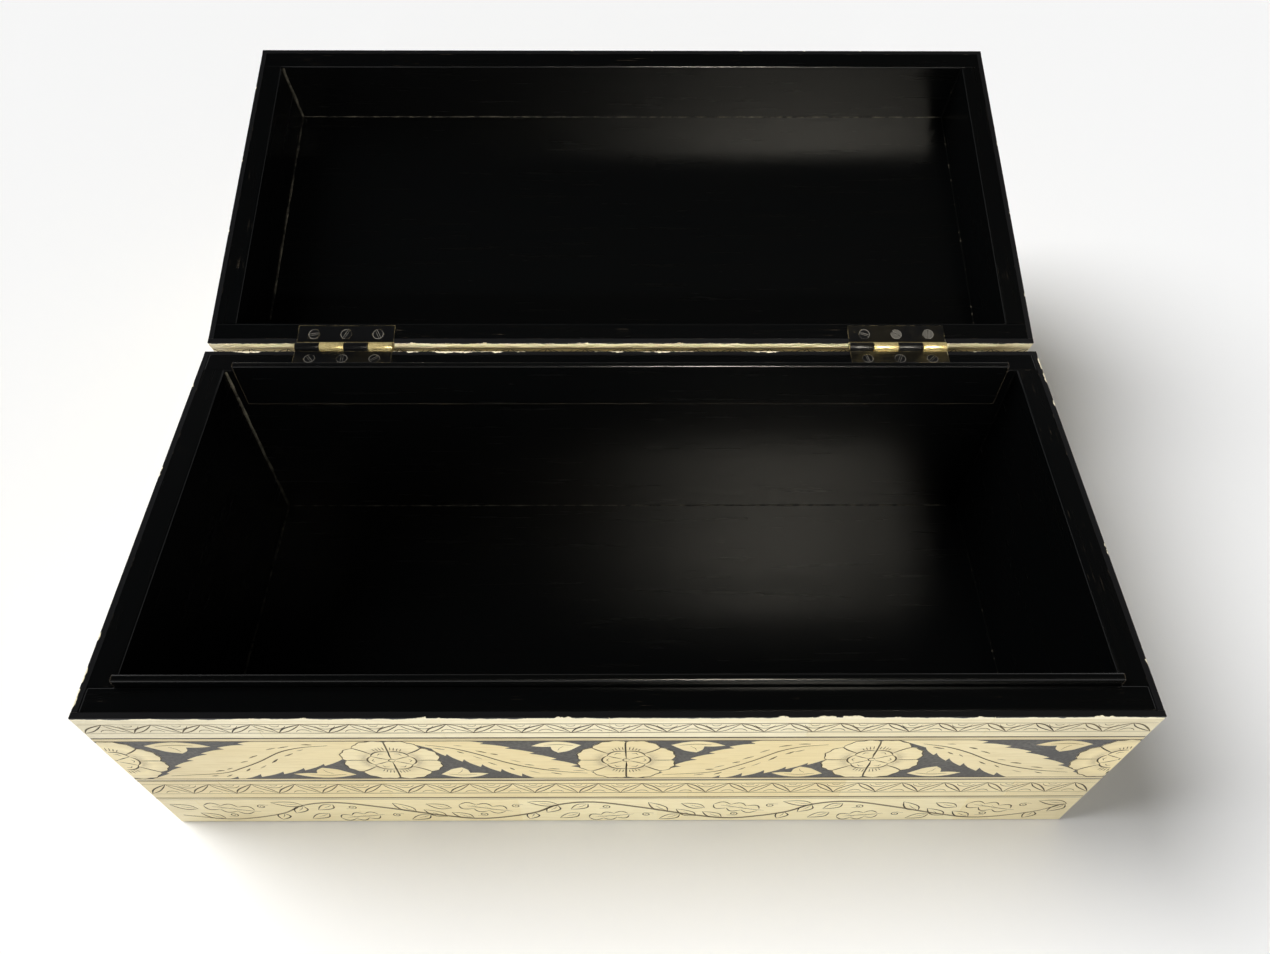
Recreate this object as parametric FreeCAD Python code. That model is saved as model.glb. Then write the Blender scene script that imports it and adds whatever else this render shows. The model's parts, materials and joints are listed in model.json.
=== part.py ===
# A bone inlaid chest: an ebonised wooden box with a hinged lid, faced with blocks of bone.
# A frieze of bone rosettes and toothed leaves lies flush in black lac on every side and on the lid.
# The frame stands on the underside of the base, at its middle: X to the right, Y to the back, Z up.
# All pieces of the lid are made shut and then turned back about the hinge axis by open_angle.
import FreeCAD, Part
import math
import os

from FreeCAD import Vector

# Overall sizes of the shut chest
length = 325.0  # left to right, over the bone
depth = 152.0  # front to back, over the bone
base_height = 92.0
lid_height = 38.0
rim_gap = 0.4  # between the two rims when shut
open_angle = 164.8  # degrees that the lid is turned back at rest

# Carcass boards
base_board = 8.2
lid_board = 7.8
lid_back_board = 7.0
lid_top_board = 5.0
bottom_panel = 3.5
bottom_rebate = 4.0  # how far the bottom panel is let into the boards
rim_round = 0.7  # worn inner edge of the rims

# Locating lips, slips glued inside the front and the back of the base
lip_thickness = 2.6
front_lip_rise = 3.5  # above the rim
back_lip_rise = 4.7
lip_drop = 16.5  # below the rim
lip_round = 0.8
back_lip_short = 4.6  # how far the back lip stops short of each side board

# Bone facing: the broad bands are shares of the base's height, and the frieze takes what is left
bone = 2.0  # thickness of the bone and of the lac
floor_clear = 0.3  # the bone stops this far above the underside
top_border_share = 0.16
lower_border_share = 0.174
scroll_band_share = 0.2445
lac_line = 0.6
smallest_lac = 0.5  # square mm: a smaller gap between two bones is left empty
upper_fillet = 1.7
lower_fillet = 1.4
scroll_fillet = 1.2
block_length = 54.0  # about the length of one bone block

# Inlay motifs
leaf_tooth = 1.5  # how far the largest teeth stand out of the leaf's edge
leaf_teeth = 5  # along each edge
front_flower_shares = (-1.0, -0.452, 0.0125, 0.5, 1.0)  # of half the length
side_flower_shares = (-1.0, 0.0, 1.0)  # of half the depth
lid_flower_shares = (-1.0, 0.0, 1.0)  # of the way to the flower at each end of the lid's frieze
# Corners of the petals round a flower: degrees from its side and share of its radius
petal_turn_shares = ((0.0, 1.0), (13.0, 1.045), (29.0, 1.045), (41.0, 0.965), (57.0, 1.07), (74.0, 1.05))
petal_top_share = (90.0, 0.95)
# A leaf grows from the top of one flower, its root, to the foot of the next. Its two edges are given by
# their start, pull and end, as shares of the flowers' spacing from the root and of the frieze's height.
rising_upper_shares = ((0.41, 1.03), (0.675, 0.785), (0.85, 0.15))
rising_lower_shares = ((0.17, 0.52), (0.405, 0.085), (0.70, -0.02))
falling_upper_shares = ((0.29, 1.03), (0.625, 0.79), (0.85, 0.16))
falling_lower_shares = ((0.18, 0.79), (0.335, 0.33), (0.63, -0.02))
leaf_root_share = (0.05, 1.03)
leaf_apex_share = (0.95, -0.03)
# A sprig lies beside a flower, and its corners go along its back, round its point and its lobe.
# They are shares of the clear stretch between two flowers and, up from its foot, of the frieze's height.
sprig_start_share = 0.44  # of the frieze's height, from the flower's middle
sprig_shares = (
    (0.0, 0.885),
    (0.095, 0.955),
    (0.19, 0.975),
    (0.285, 0.94),
    (0.365, 0.862),
    (0.225, 0.843),
    (0.175, 0.69),
    (0.06, 0.785),
)

# Hinges
hinge_length = 38.0
hinge_spacing_share = 0.668  # of the length, between the middles of the two hinges
leaf_width = 8.0  # from the back face inwards
leaf_thickness = 1.0
leaf_clearance = 0.1  # round the leaf in its pocket
knuckle_radius = 1.9
knuckle_clearance = 0.1  # between a knuckle and the back of the chest
knuckle_gap = 0.3  # between two knuckles
knuckles = 4
pin_radius = 1.0
pin_clearance = 0.05

# Hinge screws
screws = 3  # in each leaf
screw_spacing = 12.6
screw_head_radius = 2.3
screw_radius = 1.1
screw_length = 10.0
screw_head = 0.7  # thickness of the head
screw_clearance = 0.05
screw_sides = 6  # the small screws and their holes are six-sided

overrun = 5.0  # how far a cutting shape runs past what it cuts
touch = 0.001  # two points nearer than this are the same

# Places that follow from the sizes
half_length = length / 2
half_depth = depth / 2
board_half_length = half_length - bone
board_half_depth = half_depth - bone
lid_rim = base_height + rim_gap
lid_top = lid_rim + lid_height
axis_y = half_depth + knuckle_radius + knuckle_clearance
axis_z = base_height + rim_gap / 2
hinge_spacing = length * hinge_spacing_share
top_border = base_height * top_border_share
lower_border = base_height * lower_border_share
scroll_band = base_height * scroll_band_share
frieze = base_height - floor_clear - top_border - lower_border - scroll_band - upper_fillet
frieze -= lower_fillet + scroll_fillet + 4 * lac_line

nodes = {}


def box(low, high):
    """Solid box between two corners."""
    size = Vector(*high) - Vector(*low)
    return Part.makeBox(size.x, size.y, size.z, Vector(*low))


def round_edges(solid, radius, middles):
    """The solid with the edges whose middles are given rounded off."""
    chosen = [
        edge
        for edge in solid.Edges
        if any(edge.CenterOfMass.distanceToPoint(Vector(*middle)) < touch for middle in middles)
    ]
    return solid.makeFillet(radius, chosen)


def add_base(name, solids):
    nodes[name] = Part.makeCompound(solids)


def add_lid(name, solids):
    """Adds a node made in the shut position, turned back with the lid."""
    group = Part.makeCompound(solids)
    group.rotate(Vector(0, axis_y, axis_z), Vector(1, 0, 0), -open_angle)
    nodes[name] = group


# Hinges, made first because their pockets and pilot holes cut the boards and the bone
def knuckle_span(index):
    """Left and right end of one knuckle, counted from the left of the hinge."""
    pitch = (hinge_length + knuckle_gap) / knuckles
    left = index * pitch - hinge_length / 2
    return left, left + pitch - knuckle_gap


def screw_places(middle_x):
    """Middles of one leaf's screw heads, along X."""
    return [middle_x + (i - (screws - 1) / 2) * screw_spacing for i in range(screws)]


def screw_rod(radius, x, rim, way, reach):
    """A few-sided rod that goes into the wood from the rim, in line with one screw."""
    corners = []
    for side in range(screw_sides):
        turn = 2 * math.pi * side / screw_sides
        out = Vector(math.cos(turn), math.sin(turn), 0) * radius
        corners.append(Vector(x, half_depth - leaf_width / 2, rim) + out)
    face = Part.Face(Part.makePolygon(corners + corners[:1]))
    return face.extrude(Vector(0, 0, way * reach))


def hinge_leaf(middle_x, rim, way, own):
    """One leaf with its own knuckles. way is -1 for the base, whose leaf lies below the rim, else 1."""
    inner, outer = sorted((rim, rim + way * leaf_thickness))
    left = middle_x - hinge_length / 2
    leaf = box((left, half_depth - leaf_width, inner), (left + hinge_length, half_depth, outer))
    along = Vector(1, 0, 0)
    for index in own:
        start, end = knuckle_span(index)
        tab = box((middle_x + start, half_depth, inner), (middle_x + end, axis_y, outer))
        corner = Vector(middle_x + start, axis_y, axis_z)
        barrel = Part.makeCylinder(knuckle_radius, end - start, corner, along)
        leaf = leaf.fuse([tab, barrel])
    bore_start = Vector(left - overrun, axis_y, axis_z)
    bore = Part.makeCylinder(pin_radius + pin_clearance, hinge_length + 2 * overrun, bore_start, along)
    leaf = leaf.cut(bore)
    for x in screw_places(middle_x):
        seat = screw_rod(screw_head_radius + screw_clearance, x, rim, way, screw_head)
        hole = screw_rod(screw_radius + screw_clearance, x, rim, way, leaf_thickness)
        leaf = leaf.cut([seat, hole])
    return leaf.removeSplitter()


def hinge_screw(x, rim, way):
    """A wood screw, its head let in flush with the leaf's face."""
    head = screw_rod(screw_head_radius, x, rim, way, screw_head)
    shank = screw_rod(screw_radius, x, rim, way, screw_length)
    return head.fuse(shank).removeSplitter()


def hinge_cut(middle_x, rim, way):
    """The pocket for one leaf and the pilot holes under it."""
    reach = hinge_length / 2 + leaf_clearance
    inner, outer = sorted((rim - way * overrun, rim + way * leaf_thickness))
    pocket = box(
        (middle_x - reach, half_depth - leaf_width - leaf_clearance, inner),
        (middle_x + reach, half_depth + overrun, outer),
    )
    pilot_radius = screw_radius + screw_clearance
    pilot_depth = screw_length + screw_clearance
    pilots = [screw_rod(pilot_radius, x, rim, way, pilot_depth) for x in screw_places(middle_x)]
    return pocket.fuse(pilots)


hinge_middles = {"left": -hinge_spacing / 2, "right": hinge_spacing / 2}
base_hinge_cuts = [hinge_cut(x, base_height, -1) for x in hinge_middles.values()]
lid_hinge_cuts = [hinge_cut(x, lid_rim, 1) for x in hinge_middles.values()]
for side, middle in hinge_middles.items():
    lid_own = range(0, knuckles, 2)
    base_own = range(1, knuckles, 2)
    add_base(f"{side}_hinge_base_leaf", [hinge_leaf(middle, base_height, -1, base_own)])
    add_lid(f"{side}_hinge_lid_leaf", [hinge_leaf(middle, lid_rim, 1, lid_own)])
    pin_start = Vector(middle - hinge_length / 2, axis_y, axis_z)
    add_base(f"{side}_hinge_pin", [Part.makeCylinder(pin_radius, hinge_length, pin_start, Vector(1, 0, 0))])
heads = [x for middle in hinge_middles.values() for x in screw_places(middle)]
add_base("hinge_base_screws", [hinge_screw(x, base_height, -1) for x in heads])
add_lid("hinge_lid_screws", [hinge_screw(x, lid_rim, 1) for x in heads])

# Base carcass: the front and back boards run through and the side boards stand between them
inside_x = board_half_length - base_board
inside_y = board_half_depth - base_board
panel = box(
    (-inside_x - bottom_rebate, -inside_y - bottom_rebate, 0),
    (inside_x + bottom_rebate, inside_y + bottom_rebate, bottom_panel),
)
add_base("base_bottom_panel", [panel])

front = box((-board_half_length, -board_half_depth, 0), (board_half_length, -inside_y, base_height))
back = box((-board_half_length, inside_y, 0), (board_half_length, board_half_depth, base_height))
add_base("base_front_board", [front.cut(panel)])
add_base("base_back_board", [back.cut([panel] + base_hinge_cuts)])
for side, way in (("left", -1), ("right", 1)):
    low, high = sorted((way * inside_x, way * board_half_length))
    board = box((low, -inside_y, 0), (high, inside_y, base_height)).cut(panel)
    board = round_edges(board, rim_round, [(way * inside_x, 0, base_height)])
    add_base(f"base_{side}_board", [board])

# Locating lips
lip_low = base_height - lip_drop
for name, way, reach, rise in (
    ("base_front_lip", -1, inside_x, front_lip_rise),
    ("base_back_lip", 1, inside_x - back_lip_short, back_lip_rise),
):
    lip_high = base_height + rise
    low, high = sorted((way * inside_y, way * (inside_y - lip_thickness)))
    lip = box((-reach, low, lip_low), (reach, high, lip_high))
    add_base(name, [round_edges(lip, lip_round, [(0, low, lip_high), (0, high, lip_high)])])

# Lid carcass: four boards under a top board
lid_inside_x = board_half_length - lid_board
lid_inside_front = lid_board - board_half_depth
lid_inside_back = board_half_depth - lid_back_board
lid_ceiling = lid_top - bone - lid_top_board
front = box(
    (-board_half_length, -board_half_depth, lid_rim),
    (board_half_length, lid_inside_front, lid_ceiling),
)
add_lid("lid_front_board", [round_edges(front, rim_round, [(0, lid_inside_front, lid_rim)])])
back = box(
    (-board_half_length, lid_inside_back, lid_rim),
    (board_half_length, board_half_depth, lid_ceiling),
)
back = round_edges(back, rim_round, [(0, lid_inside_back, lid_rim)])
add_lid("lid_back_board", [back.cut(lid_hinge_cuts)])
middle_y = (lid_inside_front + lid_inside_back) / 2
for side, way in (("left", -1), ("right", 1)):
    low, high = sorted((way * lid_inside_x, way * board_half_length))
    board = box((low, lid_inside_front, lid_rim), (high, lid_inside_back, lid_ceiling))
    board = round_edges(board, rim_round, [(way * lid_inside_x, middle_y, lid_rim)])
    add_lid(f"lid_{side}_board", [board])
top = box(
    (-board_half_length, -board_half_depth, lid_ceiling),
    (board_half_length, board_half_depth, lid_ceiling + lid_top_board),
)
add_lid("lid_top_board", [top])


# The facing is drawn flat, with u to the right, v up and w out of the board, and then set on its side
def outline(points):
    """The face inside a closed outline of straight runs."""
    return Part.Face(Part.makePolygon(points + points[:1]))


def plate(face):
    """A drawn face given the thickness of the bone."""
    return face.extrude(Vector(0, 0, bone))


def rectangle(low_u, low_v, high_u, high_v):
    corners = [(low_u, low_v), (high_u, low_v), (high_u, high_v), (low_u, high_v)]
    return outline([Vector(u, v, 0) for u, v in corners])


def block_spans(reach, shift_share=0):
    """Both ends of every bone block in a row. shift_share moves the joints along by a share of a block."""
    count = max(1, round(2 * reach / block_length))
    pitch = 2 * reach / count
    joints = [-reach + (i + shift_share) * pitch for i in range(count + 1)]
    ends = [-reach] + [u for u in joints if -reach + touch < u < reach - touch] + [reach]
    return list(zip(ends, ends[1:]))


def block_row(reach, low, high, shift_share=0):
    """A row of bone blocks set end to end."""
    return [plate(rectangle(a, low, b, high)) for a, b in block_spans(reach, shift_share)]


def flower(middle):
    """A rosette of rounded petals that fills the height of the frieze, alike in its four quarters."""
    quarter = [petal_top_share] + list(reversed(petal_turn_shares))
    half = quarter + [(-angle, share) for angle, share in petal_turn_shares[1:]]
    whole = half + [(angle - 180, share) for angle, share in half]
    corners = []
    for angle, share in whole:
        turn = math.radians(angle)
        corners.append(middle + Vector(math.cos(turn), math.sin(turn), 0) * share * frieze / 2)
    return outline(corners)


class Gap:
    """The stretch of frieze between two flowers, from the root of its leaf to the leaf's apex."""

    def __init__(self, root, apex, rising):
        self.root = root
        self.apex = apex
        self.rising = rising
        self.run = apex - root
        self.onward = (apex - root).normalize()
        way = -1 if rising else 1
        self.up = Vector(-self.onward.y, self.onward.x, 0) * way * frieze
        self.foot = -self.up / 2

    def point(self, share):
        """The point at a share of the flowers' spacing and of the frieze's height."""
        along, height = share
        return self.root + self.run * along + self.foot + self.up * height

    def edge(self, shares, fade):
        """One toothed edge of the leaf, its teeth pointing to the apex. fade gives the teeth's sizes."""
        start, pull, end = (self.point(share) for share in shares)
        middle = self.point((sum(along for along, _ in shares) / 3, sum(high for _, high in shares) / 3))
        out = (middle - (self.root + self.apex) / 2).normalize()

        def place(t):
            return start * (1 - t) ** 2 + pull * 2 * t * (1 - t) + end * t**2

        points = [start]
        for tooth in range(1, leaf_teeth + 1):
            t = tooth / leaf_teeth
            points.append(place(t) + out * leaf_tooth * fade(t))
            points.append(place(t))
        return points

    def leaf(self):
        """The long leaf, toothed along its two free edges."""
        upper, lower = falling_upper_shares, falling_lower_shares
        if self.rising:
            upper, lower = rising_upper_shares, rising_lower_shares
        corners = [self.point(leaf_root_share)] + self.edge(upper, lambda t: 1 + 1 / leaf_teeth - t)
        corners.append(self.point(leaf_apex_share))
        corners += reversed(self.edge(lower, lambda t: t))
        return outline(corners)

    def sprig(self, at_root):
        """A small lobed sprig, at the foot of the root flower or at the top of the apex flower."""
        flower_middle = self.root if at_root else self.apex
        away = self.onward * (1 if at_root else -1)
        clear = self.run.Length - frieze

        def place(share):
            out, height = share
            along = away * (frieze * sprig_start_share + clear * out)
            return flower_middle + along + self.foot + self.up * (1 - height if at_root else height)

        return outline([place(share) for share in sprig_shares])


def run_gaps(middles):
    """The gaps along a row of flowers. Every second flower is the root of the leaves on both its sides."""
    gaps = []
    for index, (here, there) in enumerate(zip(middles, middles[1:])):
        rising = index % 2 == 0
        gaps.append(Gap(there, here, True) if rising else Gap(here, there, False))
    return gaps


def frieze_faces(ground, flowers, gaps):
    """Bone faces of a frieze, cut to one another and to the ground, and the lac faces left between them."""
    kept = []
    for face in flowers:
        kept += ground.common(face).Faces
    for gap in gaps:
        leaf = gap.leaf()
        kept += ground.common(leaf).cut(flowers).Faces
        for at_root in (True, False):
            kept += ground.common(gap.sprig(at_root)).cut(flowers + [leaf]).Faces
    return kept, [face for face in ground.cut(kept).Faces if face.Area > smallest_lac]


def set_on(solids, origin, along):
    """Solids drawn flat, stood upright with u along the given level direction and w outwards."""
    turn = math.degrees(math.atan2(along[1], along[0]))
    moved = []
    for solid in solids:
        solid = solid.copy()
        solid.rotate(Vector(0, 0, 0), Vector(1, 0, 0), 90)
        solid.rotate(Vector(0, 0, 0), Vector(0, 0, 1), turn)
        solid.translate(Vector(*origin))
        moved.append(solid)
    return moved


# Facing of the base and of the lid's edges: name, half width, distance of the corners from the middle,
# where it stands, its way to the right and its flowers
sides = (
    ("front", half_length, half_length, (0, -board_half_depth), (1, 0), front_flower_shares),
    ("right", board_half_depth, half_depth, (board_half_length, 0), (0, 1), side_flower_shares),
    ("back", half_length, half_length, (0, board_half_depth), (-1, 0), front_flower_shares),
    ("left", board_half_depth, half_depth, (-board_half_length, 0), (0, -1), side_flower_shares),
)

scroll_top = floor_clear + scroll_band
scroll_fillet_low = scroll_top + lac_line
lower_border_low = scroll_fillet_low + scroll_fillet + lac_line
lower_fillet_low = lower_border_low + lower_border + lac_line
frieze_low = lower_fillet_low + lower_fillet
upper_fillet_low = frieze_low + frieze
top_border_low = upper_fillet_low + upper_fillet + lac_line
lid_scroll_low = top_border + lac_line

for name, reach, corner, (x, y), along, shares in sides:
    middles = [Vector(share * corner, frieze_low + frieze / 2, 0) for share in shares]
    ground = rectangle(-reach, frieze_low, reach, upper_fillet_low)
    bone_faces, lac_faces = frieze_faces(ground, [flower(m) for m in middles], run_gaps(middles))
    for low, height in (
        (scroll_fillet_low, scroll_fillet),
        (lower_fillet_low, lower_fillet),
        (upper_fillet_low, upper_fillet),
    ):
        bone_faces.append(rectangle(-reach, low, reach, low + height))
    for high in (scroll_fillet_low, lower_border_low, lower_fillet_low, top_border_low):
        lac_faces.append(rectangle(-reach, high - lac_line, reach, high))
    foot = (x, y, 0)
    upper_row = set_on(block_row(reach, top_border_low, base_height), foot, along)
    if name == "back":
        upper_row = [block.cut(base_hinge_cuts) for block in upper_row]
    lower_row = block_row(reach, lower_border_low, lower_border_low + lower_border, shift_share=0.5)
    scroll_row = block_row(reach, floor_clear, scroll_top)
    add_base(f"base_{name}_top_border", upper_row)
    add_base(f"base_{name}_inlay", set_on([plate(face) for face in bone_faces], foot, along))
    add_base(f"base_{name}_lac", set_on([plate(face) for face in lac_faces], foot, along))
    add_base(f"base_{name}_lower_border", set_on(lower_row, foot, along))
    add_base(f"base_{name}_scroll_band", set_on(scroll_row, foot, along))

    foot = (x, y, lid_rim)
    rim_row = set_on(block_row(reach, 0, top_border), foot, along)
    if name == "back":
        rim_row = [block.cut(lid_hinge_cuts) for block in rim_row]
    scroll_row = block_row(reach, lid_scroll_low, lid_height - bone, shift_share=0.5)
    line = plate(rectangle(-reach, top_border, reach, lid_scroll_low))
    add_lid(f"lid_{name}_rim_border", rim_row)
    add_lid(f"lid_{name}_scroll_band", set_on(scroll_row, foot, along))
    add_lid(f"lid_{name}_lac", set_on([line], foot, along))


# Facing of the lid's upper face: a border, a scroll and a second border go round a frieze in the middle
def lid_frame(inset, width, in_blocks):
    """A frame that far in from the lid's edges: long rows at the front and back, short rows between them."""
    out_u = half_length - inset
    out_v = half_depth - inset
    in_u = out_u - width
    in_v = out_v - width
    long_row = block_spans(out_u) if in_blocks else [(-out_u, out_u)]
    short_row = block_spans(in_v) if in_blocks else [(-in_v, in_v)]
    faces = []
    for low, high in ((-out_v, -in_v), (in_v, out_v)):
        faces += [rectangle(a, low, b, high) for a, b in long_row]
    for low, high in ((-out_u, -in_u), (in_u, out_u)):
        faces += [rectangle(low, a, high, b) for a, b in short_row]
    return faces


def set_on_top(faces):
    solids = [plate(face) for face in faces]
    for solid in solids:
        solid.translate(Vector(0, 0, lid_top - bone))
    return solids


frieze_inset = half_depth - frieze / 2
inner_fillet_inset = frieze_inset - lower_fillet
inner_border_inset = inner_fillet_inset - lac_line - lower_border
outer_fillet_inset = top_border + lac_line
scroll_inset = outer_fillet_inset + upper_fillet
ring_lines = (top_border, inner_border_inset - lac_line, inner_fillet_inset - lac_line)
frieze_reach = half_length - frieze_inset
end_flower = frieze_reach - frieze / 2
middles = [Vector(share * end_flower, 0, 0) for share in lid_flower_shares]
ground = rectangle(-frieze_reach, -frieze / 2, frieze_reach, frieze / 2)
bone_faces, lac_faces = frieze_faces(ground, [flower(m) for m in middles], run_gaps(middles))
bone_faces += lid_frame(outer_fillet_inset, upper_fillet, in_blocks=False)
bone_faces += lid_frame(inner_fillet_inset, lower_fillet, in_blocks=False)
for inset in ring_lines:
    lac_faces += lid_frame(inset, lac_line, in_blocks=False)
scroll_width = inner_border_inset - lac_line - scroll_inset
add_lid("lid_top_border", set_on_top(lid_frame(0, top_border, in_blocks=True)))
add_lid("lid_top_scroll_band", set_on_top(lid_frame(scroll_inset, scroll_width, in_blocks=True)))
add_lid("lid_top_inner_border", set_on_top(lid_frame(inner_border_inset, lower_border, in_blocks=True)))
add_lid("lid_top_inlay", set_on_top(bone_faces))
add_lid("lid_top_lac", set_on_top(lac_faces))

os.makedirs("parts", exist_ok=True)
for name, shape in nodes.items():
    shape.exportStep(f"parts/{name}.step")
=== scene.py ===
# Looks of the bone inlaid chest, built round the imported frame: +X right, +Y back, +Z up, in metres.
# Ornament is drawn flat in millimetres, u to the right, v up and w out of the surface, and then set in place.
import bpy
import json
import math
import random
from mathutils import Matrix, Vector


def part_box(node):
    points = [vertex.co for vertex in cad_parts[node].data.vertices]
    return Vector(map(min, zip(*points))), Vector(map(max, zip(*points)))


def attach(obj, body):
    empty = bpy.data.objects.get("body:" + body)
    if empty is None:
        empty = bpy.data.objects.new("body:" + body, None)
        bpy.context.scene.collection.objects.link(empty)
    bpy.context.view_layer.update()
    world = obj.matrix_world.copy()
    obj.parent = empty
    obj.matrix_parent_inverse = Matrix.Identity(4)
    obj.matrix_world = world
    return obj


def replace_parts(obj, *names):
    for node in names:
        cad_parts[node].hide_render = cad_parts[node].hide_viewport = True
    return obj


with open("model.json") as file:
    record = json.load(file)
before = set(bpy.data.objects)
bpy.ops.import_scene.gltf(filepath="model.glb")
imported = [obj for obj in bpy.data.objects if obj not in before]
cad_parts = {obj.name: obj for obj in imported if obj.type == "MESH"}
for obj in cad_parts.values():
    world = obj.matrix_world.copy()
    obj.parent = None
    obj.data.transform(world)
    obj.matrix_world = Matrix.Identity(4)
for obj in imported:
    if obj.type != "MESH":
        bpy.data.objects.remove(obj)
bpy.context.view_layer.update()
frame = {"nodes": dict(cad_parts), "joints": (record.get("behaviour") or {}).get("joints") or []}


# Carcass of the base and of the lid
# Thin softwood boards, glued up and stained black inside and on the rims, then waxed to a worn satin.
# The front and back boards run through, and thin slips stand up inside the base to locate the lid.
def feed(tree, node, inputs):
    """Gives each named input of a shader node its value, or the socket that feeds it."""
    for key, value in inputs.items():
        if isinstance(value, bpy.types.NodeSocket):
            tree.links.new(value, node.inputs[key])
        else:
            node.inputs[key].default_value = value


def add(tree, kind, inputs, **settings):
    """A new shader node with its settings and inputs."""
    node = tree.nodes.new(kind)
    for key, value in settings.items():
        setattr(node, key, value)
    feed(tree, node, inputs)
    return node


def reckon(tree, operation, *values):
    """The result of a sum on numbers and sockets."""
    return add(tree, "ShaderNodeMath", dict(enumerate(values)), operation=operation).outputs[0]


def ramp(tree, value, low, high, start=0.0, end=1.0, **settings):
    """A value stretched from one range to another, and held at the ends."""
    limits = {"Value": value, "From Min": low, "From Max": high, "To Min": start, "To Max": end}
    return add(tree, "ShaderNodeMapRange", limits, **settings).outputs["Result"]


def noise(tree, place, scale, detail=2.0, roughness=0.5, distortion=0.0):
    """Cloudy noise about one half."""
    inputs = {"Vector": place, "Scale": scale, "Detail": detail}
    inputs |= {"Roughness": roughness, "Distortion": distortion}
    return add(tree, "ShaderNodeTexNoise", inputs).outputs["Fac"]


def mix(tree, share, first, second):
    """A colour between two others."""
    return add(tree, "ShaderNodeMix", {0: share, 6: first, 7: second}, data_type="RGBA").outputs[2]


def bump(tree, height, strength, distance, **settings):
    """The normal of a surface that a height roughens."""
    inputs = {"Strength": strength, "Distance": distance, "Height": height}
    return add(tree, "ShaderNodeBump", inputs, **settings).outputs[0]


def object_place(tree):
    """Where a point lies on its piece."""
    return add(tree, "ShaderNodeTexCoord", {}).outputs["Object"]


def parts_of(tree, vector):
    """The three numbers of a vector."""
    return add(tree, "ShaderNodeSeparateXYZ", {"Vector": vector}).outputs


def new_group(name, inputs, outputs):
    """A shader node group, its inputs and its end. All sockets are numbers, but for the one called Vector."""
    tree = bpy.data.node_groups.new(name, "ShaderNodeTree")
    for labels, way in ((inputs, "INPUT"), (outputs, "OUTPUT")):
        for label in labels:
            kind = "NodeSocketVector" if label == "Vector" else "NodeSocketFloat"
            tree.interface.new_socket(label, in_out=way, socket_type=kind)
    return tree, tree.nodes.new("NodeGroupInput").outputs, tree.nodes.new("NodeGroupOutput")


def new_material(name, **constants):
    """A material with its Principled shader, whose plain values are set on its own sockets."""
    material = bpy.data.materials.new(name)
    material.use_nodes = True
    tree = material.node_tree
    shader = tree.nodes["Principled BSDF"]
    for label, value in constants.items():
        shader.inputs[label.replace("_", " ").title().replace("Ior", "IOR")].default_value = value
    return material, tree, shader


def grain_group():
    """Streaks along the first axis of a vector: broad streaks, and fine open pores as dark dashes."""
    tree, given, end = new_group("grain", ("Vector", "Length", "Width"), ("Streak", "Pore"))
    parts = parts_of(tree, given["Vector"])
    along = reckon(tree, "DIVIDE", parts["X"], given["Length"])
    across = reckon(tree, "DIVIDE", parts["Y"], given["Width"])
    deep = reckon(tree, "DIVIDE", parts["Z"], given["Width"])
    place = add(tree, "ShaderNodeCombineXYZ", {0: along, 1: across, 2: deep}).outputs[0]
    broad = noise(tree, place, 1.0, 4.0, 0.6, 0.4)
    fine = noise(tree, place, 4.5)
    feed(tree, end, {"Streak": broad, "Pore": ramp(tree, fine, 0.36, 0.29)})
    return tree


def wear_group():
    """How near a sharp edge a point is, broken up by noise: 0 on the flats and 1 on a worn edge."""
    tree, given, end = new_group("edge wear", ("Vector", "Reach", "Spread"), ("Mask",))
    soft = add(tree, "ShaderNodeBevel", {"Radius": given["Reach"]}, samples=6).outputs[0]
    sharp = add(tree, "ShaderNodeNewGeometry", {}).outputs["Normal"]
    same = add(tree, "ShaderNodeVectorMath", {0: soft, 1: sharp}, operation="DOT_PRODUCT").outputs["Value"]
    edge = ramp(tree, same, 0.99, 0.78)
    patch = noise(tree, given["Vector"], 260.0, 5.0, 0.7)
    chip = ramp(tree, patch, reckon(tree, "SUBTRACT", 0.75, given["Spread"]), 0.75)
    feed(tree, end, {"Mask": reckon(tree, "MULTIPLY", edge, chip)})
    return tree


def grained(tree, place, length, width):
    """The grain, placed in a material: its streaks and its pores."""
    inputs = {"Vector": place, "Length": length, "Width": width}
    return add(tree, "ShaderNodeGroup", inputs, node_tree=grain).outputs


def worn_edges(tree, place, reach, spread):
    """The edge wear, placed in a material: its mask."""
    inputs = {"Vector": place, "Reach": reach, "Spread": spread}
    return add(tree, "ShaderNodeGroup", inputs, node_tree=edge_wear).outputs["Mask"]


grain = grain_group()
edge_wear = wear_group()
lid_joint = frame["joints"][0]
lid_axis = Vector(lid_joint["pos_m"])
lid_angle = math.radians(lid_joint["range_deg"][1])
base_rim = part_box("base_front_board")[1].z
rim_gap = 0.0004  # between the rims when shut
board_edge = 0.0006


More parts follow.
